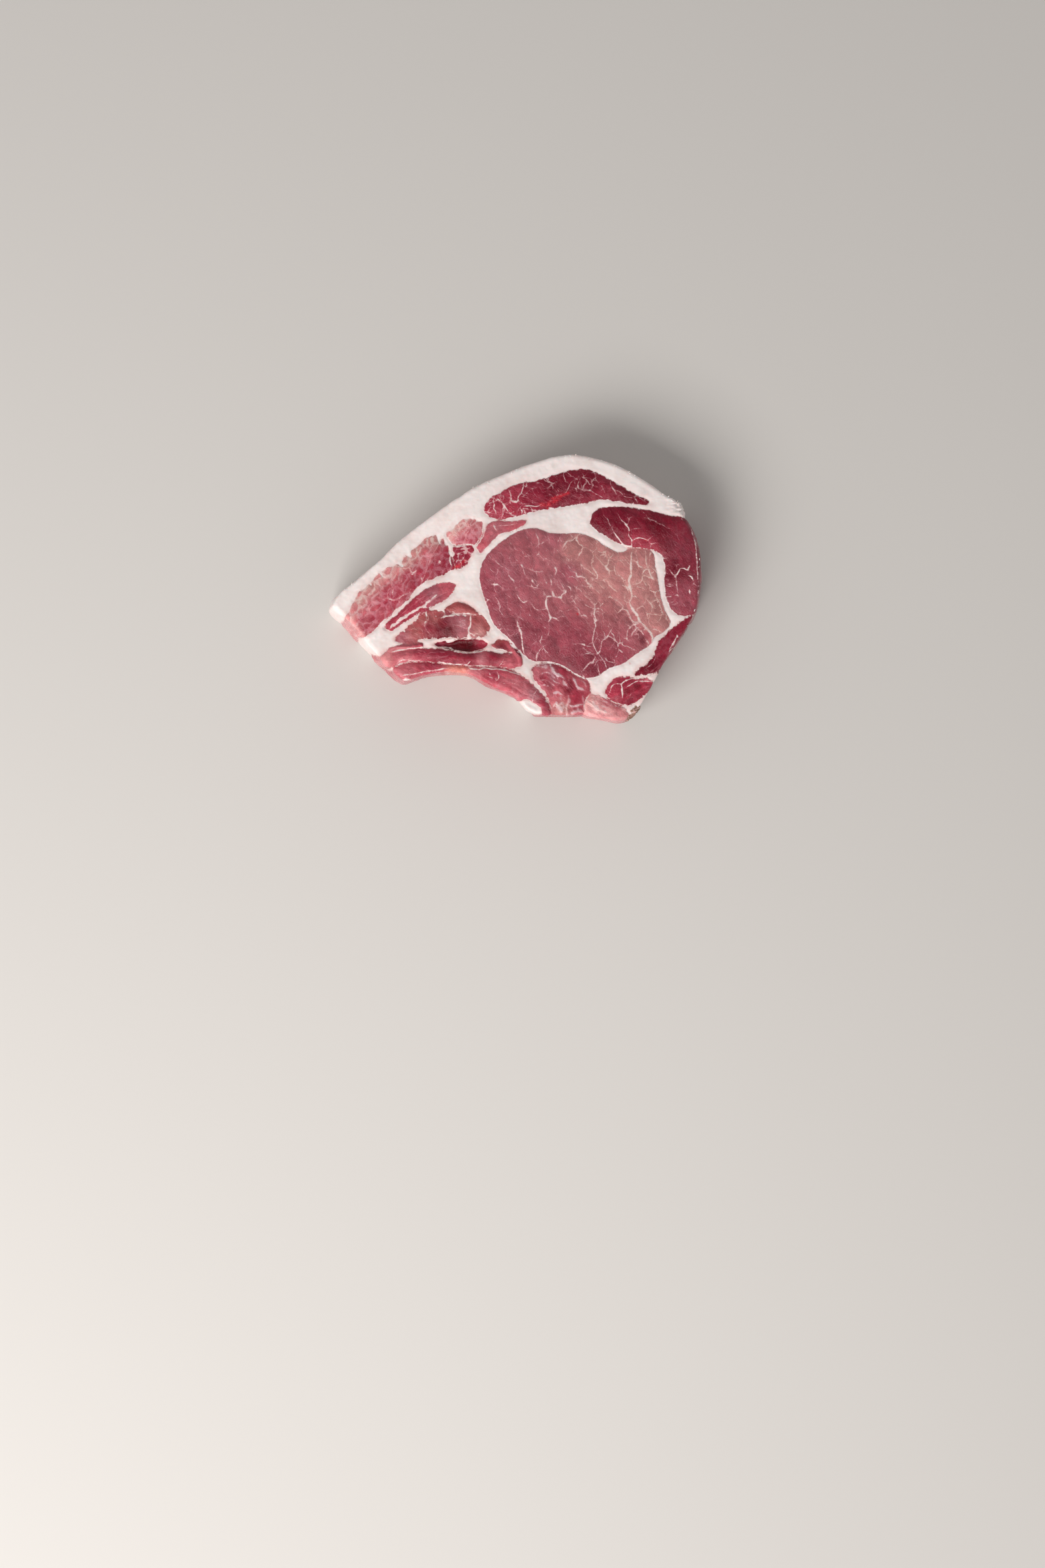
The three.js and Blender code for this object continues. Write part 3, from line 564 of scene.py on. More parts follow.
# The rings of the side
rim_radii = np.array([reach(azimuth, half_way) for azimuth in azimuths])
rim_heights = np.array([height_at(*place) for place in turned(azimuths, rim_radii - RIM_INSET)])
rings = []
for share in RISE:
    heights = share * rim_heights
    probes = np.maximum(heights, 0.05)
    radii = np.array([reach(azimuth, height) for azimuth, height in zip(azimuths, probes)])
    rings.append(np.column_stack([turned(azimuths, radii), heights]))


def well_inside(points, ring, margin):
    """Which points lie inside a ring of places, at least a margin from it as seen from the centre."""
    spokes = points - CENTRE
    ring_spokes = ring[:, :2] - CENTRE
    limits = np.interp(
        np.arctan2(spokes[:, 1], spokes[:, 0]),
        np.arctan2(ring_spokes[:, 1], ring_spokes[:, 0]),
        np.linalg.norm(ring_spokes, axis=1),
        period=2 * math.pi,
    )
    return np.linalg.norm(spokes, axis=1) < limits - margin


def net(spacing, ring, extra):
    """The extra points that lie in a ring, and round them a slightly uneven triangular net that fills it."""
    low = ring.min(axis=0)
    high = ring.max(axis=0)
    rows = np.arange(low[1], high[1], spacing * math.sqrt(3) / 2)
    columns = np.arange(low[0], high[0], spacing)
    x, y = np.meshgrid(columns, rows)
    x = x + np.where(np.arange(len(rows)) % 2, spacing / 2, 0)[:, None]
    points = np.column_stack([x.ravel(), y.ravel()])
    points += random.uniform(-UNEVEN_NET * spacing, UNEVEN_NET * spacing, points.shape)
    points = np.concatenate([extra, points])
    points = points[well_inside(points, ring, 0.7 * spacing)]
    finder = kdtree.KDTree(len(points))
    for number, point in enumerate(points):
        finder.insert((*point, 0), number)
    finder.balance()
    kept = np.ones(len(points), dtype=bool)
    for number in range(min(len(extra), len(points))):
        if kept[number]:
            for _, other, _ in finder.find_range((*points[number], 0), CROWDED):
                kept[other] = other <= number and kept[other]
    return points[kept]


def filled(ring, inner):
    """Triangles between a ring and the points inside it, which are numbered after the ring's."""
    corners = np.concatenate([ring[:, :2], inner])
    border = list(range(len(ring)))
    result = delaunay_2d_cdt([Vector(place) for place in corners.tolist()], [], [border], 1, 1e-6, True)
    numbers = np.array([sources[0] for sources in result[3]])
    joined = numbers[np.array(result[2])]
    return joined[well_inside(corners[joined].mean(axis=1), ring, 0)]


def along_threads():
    """Points on the middle of every thread and on both sides of it."""
    points = []
    for course, _, _ in threads:
        ahead = np.gradient(course, axis=0)
        across = np.column_stack([-ahead[:, 1], ahead[:, 0]]) / np.linalg.norm(ahead, axis=1, keepdims=True)
        points += [course, course + BESIDE_THREAD * across, course - BESIDE_THREAD * across]
    return np.concatenate(points)


def between_muscles(ring):
    """Points midway between two muscles that lie close together, so that a thin membrane shows whole."""
    low = ring.min(axis=0)
    high = ring.max(axis=0)
    x, y = np.meshgrid(np.arange(low[0], high[0], MEMBRANE_STEP), np.arange(low[1], high[1], MEMBRANE_STEP))
    spots = np.stack([x, y], axis=-1)
    whose = np.full(x.shape, -1)
    gaps = np.full(x.shape, FAR)
    for row, column in np.argwhere(well_inside(spots.reshape(-1, 2), ring, 0.5).reshape(x.shape)):
        spot = spots[row, column]
        _, _, face, gap = meat_tree.find_nearest(Vector((*spot, height_at(*spot))))
        whose[row, column] = meat_owner[face]
        gaps[row, column] = gap
    points = []
    for first, second in ((np.s_[:, :-1], np.s_[:, 1:]), (np.s_[:-1], np.s_[1:])):
        both_near = (gaps[first] < WIDEST_MEMBRANE) & (gaps[second] < WIDEST_MEMBRANE)
        meet = (whose[first] != whose[second]) & both_near
        share = 0.5 + (gaps[second] - gaps[first])[meet] / (2 * MEMBRANE_STEP)
        share = np.clip(share, 0.05, 0.95)[:, None]
        points.append(spots[first][meet] * (1 - share) + spots[second][meet] * share)
    return np.concatenate(points)


membranes = between_muscles(rings[-1][:, :2])
upper_net = net(FINE, rings[-1][:, :2], np.concatenate([membranes, along_threads()]))
upper_heights = np.array([height_at(*place) for place in upper_net])
lower_net = net(COARSE, rings[0][:, :2], np.empty((0, 2)))
places = np.concatenate([
    *rings,
    np.column_stack([upper_net, upper_heights]),
    np.column_stack([lower_net, np.zeros(len(lower_net))]),
])
last_ring = (len(RISE) - 1) * AROUND
upper_start = len(RISE) * AROUND
lower_start = upper_start + len(upper_net)
here = np.arange(AROUND)
following = (here + 1) % AROUND
walls = []
for level in range(len(RISE) - 1):
    low = level * AROUND
    high = low + AROUND
    walls.append(np.column_stack([low + here, low + following, high + following]))
    walls.append(np.column_stack([low + here, high + following, high + here]))
upper = filled(rings[-1], upper_net)
upper = np.where(upper < AROUND, upper + last_ring, upper - AROUND + upper_start)
lower = filled(rings[0], lower_net)
lower = np.where(lower < AROUND, lower, lower - AROUND + lower_start)[:, ::-1]
triangles = np.concatenate([*walls, upper, lower])
sides_of_triangles = np.concatenate([triangles[:, [0, 1]], triangles[:, [1, 2]], triangles[:, [2, 0]]])
links = np.unique(np.sort(sides_of_triangles, axis=1), axis=0)
neighbours = np.bincount(links.ravel(), minlength=len(places)).astype(float)


def drawn(values, pull):
    """Each corner's value drawn towards the mean of its neighbours', or pushed away by a negative pull."""
    columns = values.reshape(len(places), -1)
    means = np.column_stack([
        (np.bincount(links[:, 0], column[links[:, 1]], len(places))
         + np.bincount(links[:, 1], column[links[:, 0]], len(places))) / neighbours
        for column in columns.T
    ])
    return (columns + pull * (means - columns)).reshape(values.shape)


# The skin loses the facets of the solids without shrinking
numbers = np.arange(len(places))
resting = (numbers < AROUND) | (numbers >= lower_start)
on_upper_face = (numbers >= upper_start) & (numbers < lower_start)
for _ in range(SMOOTHINGS):
    places = drawn(drawn(places, DRAWN_IN), -PUSHED_OUT)
    places[resting, 2] = 0
    places[on_upper_face, :2] = upper_net

# The border between meat and fat
# It follows the muscles of the solids. Each corner of the skin knows how far it lies inside the meat,
# which muscle is nearest, and where it would lie on the upper face if the muscles ran straight down.
THICKNESS = 26.0
LEAN = 7.0  # mm by which the layers wander along the side on their way down
LEAN_WAVE = 17.0
GRAIN_DRIFT = 1.1  # mm by which threads and grain move sideways on their way down
DRIFT_WAVES = (21.0, 26.0)
DRIFT_SHIFT = (0.14, 0.12)
DRIFT_ROUNDS = 4


def fractal_at(points, power, octaves, size=1.0, shift=(0, 0, 0)):
    """A noise at each of the points, whose features are about a size across."""
    moved = [Vector(point) / size + Vector(shift) for point in points.tolist()]
    return np.array([noise.fractal(point, power, 2.0, octaves) for point in moved])


spokes = places[:, :2] - CENTRE
bearings = np.arctan2(spokes[:, 1], spokes[:, 0])
from_centre = np.linalg.norm(spokes, axis=1)
lean = fractal_at(places * (1, 1, 0.5), 1.0, 2, LEAN_WAVE, (3, 1, 8))
lowered = np.clip((0.9 * THICKNESS - places[:, 2]) / (0.6 * THICKNESS), 0, 1)
lean *= np.where(on_upper_face, 0, LEAN * lowered ** 2 * (3 - 2 * lowered))
leaning = bearings + lean / np.maximum(from_centre, 25)
stretch = np.interp(leaning, azimuths, rim_radii, period=2 * math.pi)
stretch /= np.interp(bearings, azimuths, rim_radii, period=2 * math.pi)
probes = np.column_stack([turned(leaning, from_centre * stretch), places[:, 2]])

fat_tree, _ = tree_of(WHITE_NODES)
to_meat = [meat_tree.find_nearest(Vector(probe)) for probe in probes]
to_fat = np.array([fat_tree.find_nearest(Vector(probe))[3] for probe in probes])
owner = meat_owner[np.array([found[2] for found in to_meat])]
inside_meat = to_fat - np.array([found[3] for found in to_meat])
membrane_spots = {tuple(spot) for spot in membranes.tolist()}
on_membrane = np.zeros(len(places), dtype=bool)
on_membrane[on_upper_face] = [tuple(spot) in membrane_spots for spot in upper_net.tolist()]
inside_meat = np.where(on_membrane, inside_meat, drawn(inside_meat, 0.5))

depth = 1 - places[:, 2] / THICKNESS
flat = probes[:, :2] + DRIFT_SHIFT
for _ in range(DRIFT_ROUNDS):
    sideways = np.column_stack([
        np.sin(flat[:, 1] / DRIFT_WAVES[0] + 0.5),
        np.cos(flat[:, 0] / DRIFT_WAVES[1]),
    ])
    flat = probes[:, :2] + DRIFT_SHIFT - GRAIN_DRIFT * depth[:, None] * sideways
flat = flat - DRIFT_SHIFT

# The build and the colour of each muscle
# The eye is dusty rose with fine white grains along its fibres, the muscles over it fall into rounded
# bundles, those beside the spine are deep red and veined, and those between the ribs lie in wet strands.
NIGHT = (128, 43, 59)
DUSK = (150, 66, 80)
MAUVE = (158, 82, 94)
ROSE = (172, 92, 102)
BLUSH = (192, 128, 127)
SHELL = (212, 138, 140)
WINE = (112, 10, 34)
# a very dark plum red, which in the hollow between the ribs stands for painted shade
PLUM_AND_SHADE = (96, 0, 18)
GARNET = (136, 28, 50)
RASPBERRY = (160, 46, 66)
SALMON = (188, 88, 100)
CORAL = (206, 112, 104)
HEATHER = (178, 100, 111)
PETAL = (228, 160, 162)
BROWN = (164, 78, 80)

# Shares of the net of fat, the small marks along the fibres, the rounded bundles and the strands
MARBLED = (0.7, 1.0, 0.0, 0.0)
CLOUDED = (1.0, 0.7, 0.0, 0.0)
VEINED = (0.4, 0.8, 0.1, 0.1)
STREAKED = (0.5, 0.8, 0.3, 0.3)
CLUSTERED = (0.6, 0.35, 0.2, 0.0)
CELLED = (1.2, 0.5, 0.3, 0.0)
THREADED = (0.95, 1.0, 0.1, 0.0)
SCALED = (0.45, 0.1, 1.0, 0.0)
STRANDED = (0.2, 0.3, 0.1, 0.8)
BROKEN = (0.3, 0.3, 0.3, 0.3)
FLECKED = (0.6, 1.0, 0.35, 0.6)
SMOOTH = (0.0, 0.1, 0.0, 0.25)

# fibres: degrees from +X; bundle: mm across one; wider: mm that the meat reaches beyond its solid;
# ragged: mm that its border wanders; rosy: how pink the fat beside it is; crown: mm that its middle
# stands up; spots: the colour and build of the meat at pixels of the photograph
LOOKS = {
    "eye_muscle": dict(fibres=-56, bundle=5.0, wider=0.0, ragged=1.0, rosy=0.2, crown=0.1, spots=[
        (735, 880, DUSK, MARBLED), (760, 860, MAUVE, MARBLED), (850, 860, MAUVE, MARBLED),
        (960, 880, BLUSH, CLOUDED), (985, 930, BLUSH, CLOUDED), (905, 860, BLUSH, CLOUDED),
        (850, 960, DUSK, MARBLED), (880, 1003, NIGHT, CLOUDED), (850, 992, NIGHT, CLOUDED),
        (905, 998, NIGHT, CLOUDED), (930, 980, DUSK, CLOUDED), (950, 960, ROSE, CLOUDED),
        (900, 830, BLUSH, CLOUDED), (800, 960, DUSK, MARBLED), (780, 970, NIGHT, MARBLED),
        (790, 815, ROSE, MARBLED), (830, 812, HEATHER, CLOUDED), (860, 825, BLUSH, CLOUDED)]),
    "spine_muscle": dict(fibres=-52, bundle=4.4, wider=0.1, ragged=2.0, rosy=0.3, crown=0.15, spots=[
        (920, 780, WINE, VEINED), (980, 790, WINE, VEINED), (1025, 830, NIGHT, VEINED),
        (1030, 890, DUSK, VEINED), (1010, 860, WINE, VEINED), (965, 820, RASPBERRY, VEINED)]),
    "top_muscle": dict(fibres=-25, bundle=2.4, wider=0.25, ragged=2.0, rosy=0.3, crown=0.1, spots=[
        (735, 757, RASPBERRY, CELLED), (765, 745, RASPBERRY, THREADED), (800, 740, GARNET, THREADED),
        (830, 730, WINE, THREADED), (880, 725, WINE, THREADED), (900, 745, GARNET, VEINED),
        (950, 745, WINE, THREADED)]),
    "flank_muscle": dict(fibres=58, bundle=2.8, wider=0.3, ragged=1.8, rosy=0.6, crown=0.1, spots=[
        (648, 806, BLUSH, SCALED), (621, 827, BLUSH, SCALED), (604, 842, BLUSH, SCALED),
        (592, 852, SHELL, SCALED),
        (573, 864, SHELL, SCALED), (556, 880, BLUSH, SCALED), (540, 900, BLUSH, SCALED),
        (655, 848, GARNET, SCALED), (658, 856, GARNET, SCALED), (668, 830, RASPBERRY, SCALED),
        (671, 847, GARNET, SCALED),
        (640, 835, SALMON, SCALED), (631, 858, RASPBERRY, SCALED), (609, 863, RASPBERRY, SCALED),
        (625, 876, GARNET, SCALED), (594, 882, RASPBERRY, SCALED), (579, 890, RASPBERRY, SCALED),
        (575, 906, RASPBERRY, SCALED), (590, 898, RASPBERRY, SCALED), (558, 905, SALMON, SCALED),
        (560, 925, RASPBERRY, SCALED), (541, 929, RASPBERRY, SCALED), (548, 942, RASPBERRY, SCALED),
        (528, 928, SHELL, SCALED), (510, 928, SHELL, SMOOTH), (522, 940, SHELL, SMOOTH),
        (538, 953, SHELL, SMOOTH)]),
    "fan_upper_muscle": dict(fibres=60, bundle=2.0, wider=0.6, ragged=1.2, rosy=0.5, crown=0.1, spots=[
        (680, 790, BLUSH, SCALED), (676, 802, SHELL, SCALED), (692, 783, SHELL, SCALED),
        (690, 810, RASPBERRY, SCALED), (705, 800, SALMON, SCALED), (706, 812, RASPBERRY, SCALED)]),
    "fan_end_muscle": dict(fibres=25, bundle=2.6, wider=0.5, ragged=1.6, rosy=0.6, crown=0.1, spots=[
        (725, 815, SALMON, CLUSTERED), (740, 800, ROSE, VEINED), (775, 787, SALMON, STRANDED)]),
    "fan_lower_muscle": dict(fibres=70, bundle=2.2, wider=0.8, ragged=2.2, rosy=0.8, crown=0.1, spots=[
        (690, 830, GARNET, CELLED), (700, 826, RASPBERRY, CELLED), (682, 845, GARNET, CELLED)]),
    "seam_muscle": dict(fibres=40, bundle=3.0, wider=0.3, ragged=2.0, rosy=0.6, crown=0.15, spots=[
        (668, 880, SALMON, SMOOTH), (650, 890, MAUVE, VEINED), (625, 905, RASPBERRY, VEINED),
        (604, 921, RASPBERRY, VEINED)]),
    "side_muscle": dict(fibres=-50, bundle=3.5, wider=0.4, ragged=3.4, rosy=0.9, crown=-0.3, spots=[
        (600, 957, ROSE, STREAKED), (625, 947, BROWN, STREAKED), (632, 930, BROWN, STREAKED),
        (640, 942, GARNET, STREAKED), (655, 928, BROWN, STREAKED), (660, 945, WINE, STREAKED),
        (673, 945, PLUM_AND_SHADE, STREAKED), (668, 932, WINE, STREAKED), (687, 929, HEATHER, SMOOTH),
        (694, 942, HEATHER, SMOOTH), (714, 930, BROWN, SMOOTH), (721, 945, BLUSH, SMOOTH),
        (729, 940, BROWN, SMOOTH)]),
    "side_lobe_muscle": dict(fibres=-20, bundle=4.0, wider=0.4, ragged=1.4, rosy=1.0, crown=0.3, spots=[
        (695, 912, BROWN, SMOOTH)]),
    # In the hollow the plum spots paint in the shade that falls there
    "rib_hollow_muscle": dict(fibres=0, bundle=4.0, wider=0.3, ragged=1.6, rosy=1.0, crown=-0.7, spots=[
        (655, 965, GARNET, SMOOTH), (690, 968, PLUM_AND_SHADE, SMOOTH), (703, 968, PLUM_AND_SHADE, SMOOTH),
        (727, 966, RASPBERRY, SMOOTH)]),
    "rib_nub_muscle": dict(fibres=-30, bundle=4.0, wider=0.4, ragged=2.4, rosy=1.0, crown=0.3, spots=[
        (748, 962, BROWN, SMOOTH), (764, 970, SALMON, SMOOTH), (752, 970, GARNET, SMOOTH)]),
    "rib_upper_muscle": dict(fibres=0, bundle=4.0, wider=0.4, ragged=2.6, rosy=1.0, crown=0.6, spots=[
        (581, 988, SHELL, SMOOTH), (594, 988, SALMON, SMOOTH), (603, 985, SALMON, STRANDED),
        (635, 982, RASPBERRY, STRANDED),
        # the garnet spot at (704, 988) paints in the shade that falls across the strand there
        (662, 984, GARNET, STRANDED), (690, 986, RASPBERRY, SMOOTH), (704, 988, GARNET, SMOOTH),
        (723, 988, ROSE, SMOOTH),
        (740, 988, GARNET, SMOOTH), (762, 994, SALMON, STRANDED), (778, 982, SALMON, SMOOTH)]),
    "rib_lower_muscle": dict(fibres=-20, bundle=4.0, wider=0.7, ragged=2.2, rosy=1.0, crown=0.5, spots=[
        (600, 1000, SALMON, FLECKED), (650, 1000, RASPBERRY, FLECKED), (690, 1003, CORAL, FLECKED),
        (715, 1007, SALMON, FLECKED),
        (740, 1012, RASPBERRY, FLECKED), (760, 1025, SALMON, FLECKED), (785, 1030, SALMON, FLECKED),
        (800, 1045, HEATHER, FLECKED), (818, 1050, RASPBERRY, FLECKED)]),
    "rib_block_muscle": dict(fibres=-60, bundle=3.4, wider=0.6, ragged=2.4, rosy=0.8, crown=0.2, spots=[
        (808, 1004, ROSE, SMOOTH), (815, 1020, RASPBERRY, STRANDED), (830, 1014, MAUVE, STRANDED),
        (846, 1006, RASPBERRY, SMOOTH), (868, 1016, SALMON, SMOOTH), (876, 1028, SALMON, SMOOTH),
        (835, 1044, SALMON, SMOOTH), (856, 1034, GARNET, STRANDED), (866, 1042, RASPBERRY, SMOOTH),
        (845, 1062, BLUSH, SMOOTH), (863, 1052, RASPBERRY, SMOOTH), (868, 1064, SALMON, SMOOTH)]),
    "chine_foot_muscle": dict(fibres=-25, bundle=3.0, wider=0.6, ragged=2.4, rosy=0.9, crown=0.2, spots=[
        (884, 1047, SHELL, STRANDED), (892, 1064, PETAL, SMOOTH), (912, 1054, SALMON, STRANDED),
        (918, 1069, PETAL, SMOOTH), (926, 1060, RASPBERRY, STRANDED), (936, 1066, SHELL, SMOOTH)]),
    "chine_muscle": dict(fibres=30, bundle=3.0, wider=0.4, ragged=2.4, rosy=0.8, crown=-0.2, spots=[
        (925, 1040, RASPBERRY, VEINED), (950, 1035, RASPBERRY, VEINED), (945, 1045, GARNET, VEINED),
        (970, 1025, RASPBERRY, STRANDED)]),
    "chine_strip_muscle": dict(fibres=50, bundle=2.6, wider=0.5, ragged=2.8, rosy=0.8, crown=-0.1, spots=[
        (1000, 970, GARNET, BROKEN), (970, 1000, WINE, STRANDED), (1030, 930, GARNET, STRANDED)]),
}

# Where the border lies elsewhere than the solids have it: mm around a course, mm more meat, and the course
REACHES = [
    (2.2, 1.2, [(946, 821), (958, 824), (971, 829)]),
    (3.2, 1.3, [(1046, 915), (1032, 958), (1010, 995), (985, 1030)]),
    (2.5, 0.8, [(1048, 880), (1048, 881)]),
    (2.2, -4.0, [(790, 1055), (797, 1060), (806, 1066)]),
    (0.9, 3.4, [(586, 975), (600, 971), (614, 969), (632, 967)]),
    (0.8, 3.2, [(772, 977), (779, 985), (781, 996)]),
    (1.1, 2.0, [(632, 925), (640, 918)]),
    (1.0, 2.2, [(648, 921), (652, 918)]),
    (1.2, 2.4, [(666, 921), (671, 915)]),
    (1.3, 2.4, [(718, 924), (724, 932), (730, 944)]),
    (1.6, 1.6, [(605, 955), (612, 950)]),
    (0.5, -2.4, [(639, 919), (639, 925), (640, 930)]),
    (0.6, -2.2, [(653, 923), (656, 929)]),
    (0.4, -2.4, [(666, 917), (667, 926)]),
    (0.6, -2.4, [(702, 948), (704, 956)]),
    (0.5, -2.0, [(719, 922), (720, 927)]),
    (0.4, -2.2, [(724, 939), (729, 946), (733, 951)]),
    (0.5, -1.6, [(607, 948), (612, 949)]),
    (0.6, -2.2, [(672, 963), (679, 961)]),
    (0.7, -2.4, [(599, 844), (603, 850)]),
    (0.6, -2.0, [(612, 828), (616, 835)]),
    (0.6, -2.2, [(657, 804), (659, 815)]),
    (0.5, -1.8, [(571, 860), (575, 868)]),
    (0.5, -1.8, [(555, 876), (560, 883)]),
    (0.6, -1.6, [(676, 829), (680, 832)]),
    (0.7, -1.6, [(743, 976), (753, 978)]),
    (0.5, -1.6, [(697, 843), (694, 838)]),
    (1.0, 1.2, [(704, 822), (708, 826)]),
]

# Places where the meat is pale and translucent: half widths in millimetres, strengths, and courses in pixels
PALE_PLACES = [
    (1.2, 0.35, [(722, 981), (722, 998)]),
    (1.0, 0.6, [(687, 932), (700, 936)]),
    (0.7, 0.7, [(806, 1000), (815, 1000), (826, 1000)]),
    (0.9, 0.8, [(844, 1024), (851, 1028)]),
    (0.6, 0.7, [(863, 1021), (867, 1031)]),
    (1.1, 0.8, [(836, 1058), (843, 1068)]),
    (0.9, 0.7, [(860, 1066), (872, 1065)]),
    (1.0, 0.7, [(889, 1050), (892, 1060), (905, 1067)]),
    (0.9, 0.5, [(598, 990), (602, 1000)]),
    (0.8, 0.6, [(826, 1045), (836, 1044), (845, 1050)]),
    (0.8, 0.5, [(612, 950), (618, 960)]),
    (1.2, 0.5, [(510, 925), (530, 945), (545, 960)]),
]

# Pale ridges of tissue that stand up a little beside the bone, as pale places are given
RIDGES = [
    (0.55, 1.0, [(825, 993), (828, 1003), (835, 1011), (847, 1018)]),
    (0.3, 0.9, [(805, 1001), (813, 996), (822, 997)]),
    (0.18, 0.9, [(808, 1014), (816, 1009), (824, 1010), (832, 1016), (841, 1022)]),
    (0.16, 0.85, [(806, 1019), (815, 1014), (824, 1016), (834, 1024), (843, 1027)]),
    (0.16, 0.85, [(807, 1024), (816, 1020), (824, 1023), (833, 1030)]),
    (0.16, 0.85, [(810, 1030), (818, 1027), (827, 1031)]),
    (0.7, 0.8, [(843, 1019), (848, 1026), (853, 1032)]),
    (0.5, 1.0, [(860, 1017), (864, 1026), (868, 1032), (877, 1036)]),
    (0.16, 0.85, [(852, 1009), (854, 1020), (850, 1029)]),
    (0.16, 0.85, [(871, 1019), (877, 1025), (879, 1032)]),
    (0.35, 0.9, [(827, 1043), (836, 1038), (845, 1043)]),
    (0.4, 0.9, [(829, 1064), (835, 1055), (838, 1060), (843, 1055), (848, 1064)]),
    (0.35, 1.0, [(852, 1041), (853, 1053), (850, 1062), (851, 1074)]),
    (0.35, 1.0, [(852, 1057), (860, 1060), (867, 1059), (876, 1057)]),
    (0.3, 1.0, [(874, 1044), (876, 1055), (879, 1067)]),
    (0.45, 0.9, [(852, 1072), (864, 1068), (878, 1068)]),
    (0.35, 0.9, [(876, 1048), (888, 1057), (897, 1065), (915, 1070)]),
    (0.25, 0.85, [(898, 1049), (912, 1054), (926, 1060), (938, 1066)]),
    (0.2, 0.85, [(888, 1045), (900, 1058), (912, 1063)]),
]

# Places that are deeper in colour, as pale places are given. Some of them are painted shade: in the hollow
# between the ribs, across the strand below it, and under the nub's lower edge.
DEEP_AND_SHADED_PLACES = [
    # painted shade in the hollow between the ribs
    (1.5, 0.25, [(672, 968), (690, 970), (703, 969)]),
    # painted shade across the rib strand below the hollow
    (1.6, 0.2, [(688, 990), (708, 990)]),
    (1.2, 0.25, [(655, 935), (668, 945), (682, 952)]),
    (0.35, 0.35, [(748, 1001), (752, 996), (755, 990)]),
    # painted shadow along the lower edge of the nub
    (0.7, 0.5, [(746, 971), (757, 973), (762, 978)]),
    (1.1, 0.35, [(964, 962), (972, 952)]),
    (1.0, 0.4, [(940, 1038), (958, 1030)]),
    (0.8, 0.4, [(855, 1022), (857, 1032), (852, 1038)]),
    (0.5, 0.4, [(862, 1064), (870, 1063)]),
    (2.0, 0.25, [(975, 780), (990, 800), (1000, 822)]),
    (0.8, 0.3, [(812, 1016), (820, 1024), (830, 1030)]),
]

# Bright blood in and beside the meat: half widths in millimetres, and courses in pixels
BLOOD = [
    (0.9, [(813, 757), (821, 757), (829, 753), (837, 749)]),
    (0.5, [(829, 748), (842, 744), (853, 740)]),
    (0.3, [(818, 760), (822, 763)]),
    (0.55, [(681, 851), (688, 849), (693, 846), (696, 841)]),
    (0.3, [(866, 921), (868, 923)]),
    (0.25, [(945, 995), (946, 996)]),
    (0.3, [(968, 810), (971, 811)]),
]


def linear(colour):
    """A colour given as eye values from 0 to 255, as the linear values that materials take."""
    share = np.array(colour) / 255
    return np.where(share > 0.04045, ((share + 0.055) / 1.055) ** 2.4, share / 12.92)


def gaps_to(pixels, half_width=0.0):
    """How far each corner of the skin lies outside a course of an even half width."""
    course = curve_through(on_face(pixels))
    return distances_to(course, flat, np.full(len(course), half_width))[0]


NO_THREAD = 4.0  # mm from a thread beyond which it isn't looked for
GLOW_REACH = 0.8  # mm that the pale tissue over a thread reaches
WEB = 0.2  # mm that the webs fill the corners where threads meet
BLOOD_DEPTH = 4.0  # mm over which blood fades down the side
SIDE_TOP = 0.97  # share of the rim's height at which the film on the side ends
SIDE_TOP_FADE = 0.1
SIDE_FOOT_FADE = 0.05
SPOT_BLUR = 1.2  # mm by which the colours of the spots melt into each other
BUILD_APART = 40  # shift between the patterns of one muscle and the next
webbed = np.full(len(places), math.exp(-NO_THREAD / WEB))
to_thread = np.full(len(places), NO_THREAD)
whiteness = np.zeros(len(places))
glow = np.zeros(len(places))
for course, widths, white in threads:
    low = course.min(axis=0) - NO_THREAD
    high = course.max(axis=0) + NO_THREAD
    near = np.flatnonzero(np.all((flat > low) & (flat < high), axis=1))
    gaps, above = distances_to(course, flat[near], widths)
    closer = gaps < to_thread[near]
    to_thread[near[closer]] = gaps[closer]
    whiteness[near[closer]] = white
    webbed[near] += np.exp(-gaps / WEB)
    upper_side = np.clip(0.3 + 0.7 * above, 0, 1)
    own_glow = min(white, 0.8) ** 2 * np.exp(-np.maximum(gaps, 0) / GLOW_REACH) * upper_side
    glow[near] = np.maximum(glow[near], own_glow)
to_thread = -WEB * np.log(webbed)
for half_width, strength, pixels in PALE_PLACES + RIDGES:
    course = strayed(curve_through(on_face(pixels)))
    gaps, _ = distances_to(course, flat, tapered(course, half_width))
    glow = np.maximum(glow, strength * np.clip(0.7 - gaps, 0, 1))

deep_and_shaded = np.ones(len(places))
for half_width, strength, pixels in DEEP_AND_SHADED_PLACES:
    deep_and_shaded = np.minimum(deep_and_shaded, 1 - strength * np.clip(0.6 - gaps_to(pixels, half_width) / 0.8, 0, 1))

blood = np.zeros(len(places))
for half_width, pixels in BLOOD:
    blood = np.maximum(blood, np.exp(-(gaps_to(pixels) / half_width) ** 2))
blood *= np.clip(1.5 - depth * THICKNESS / BLOOD_DEPTH, 0, 1)

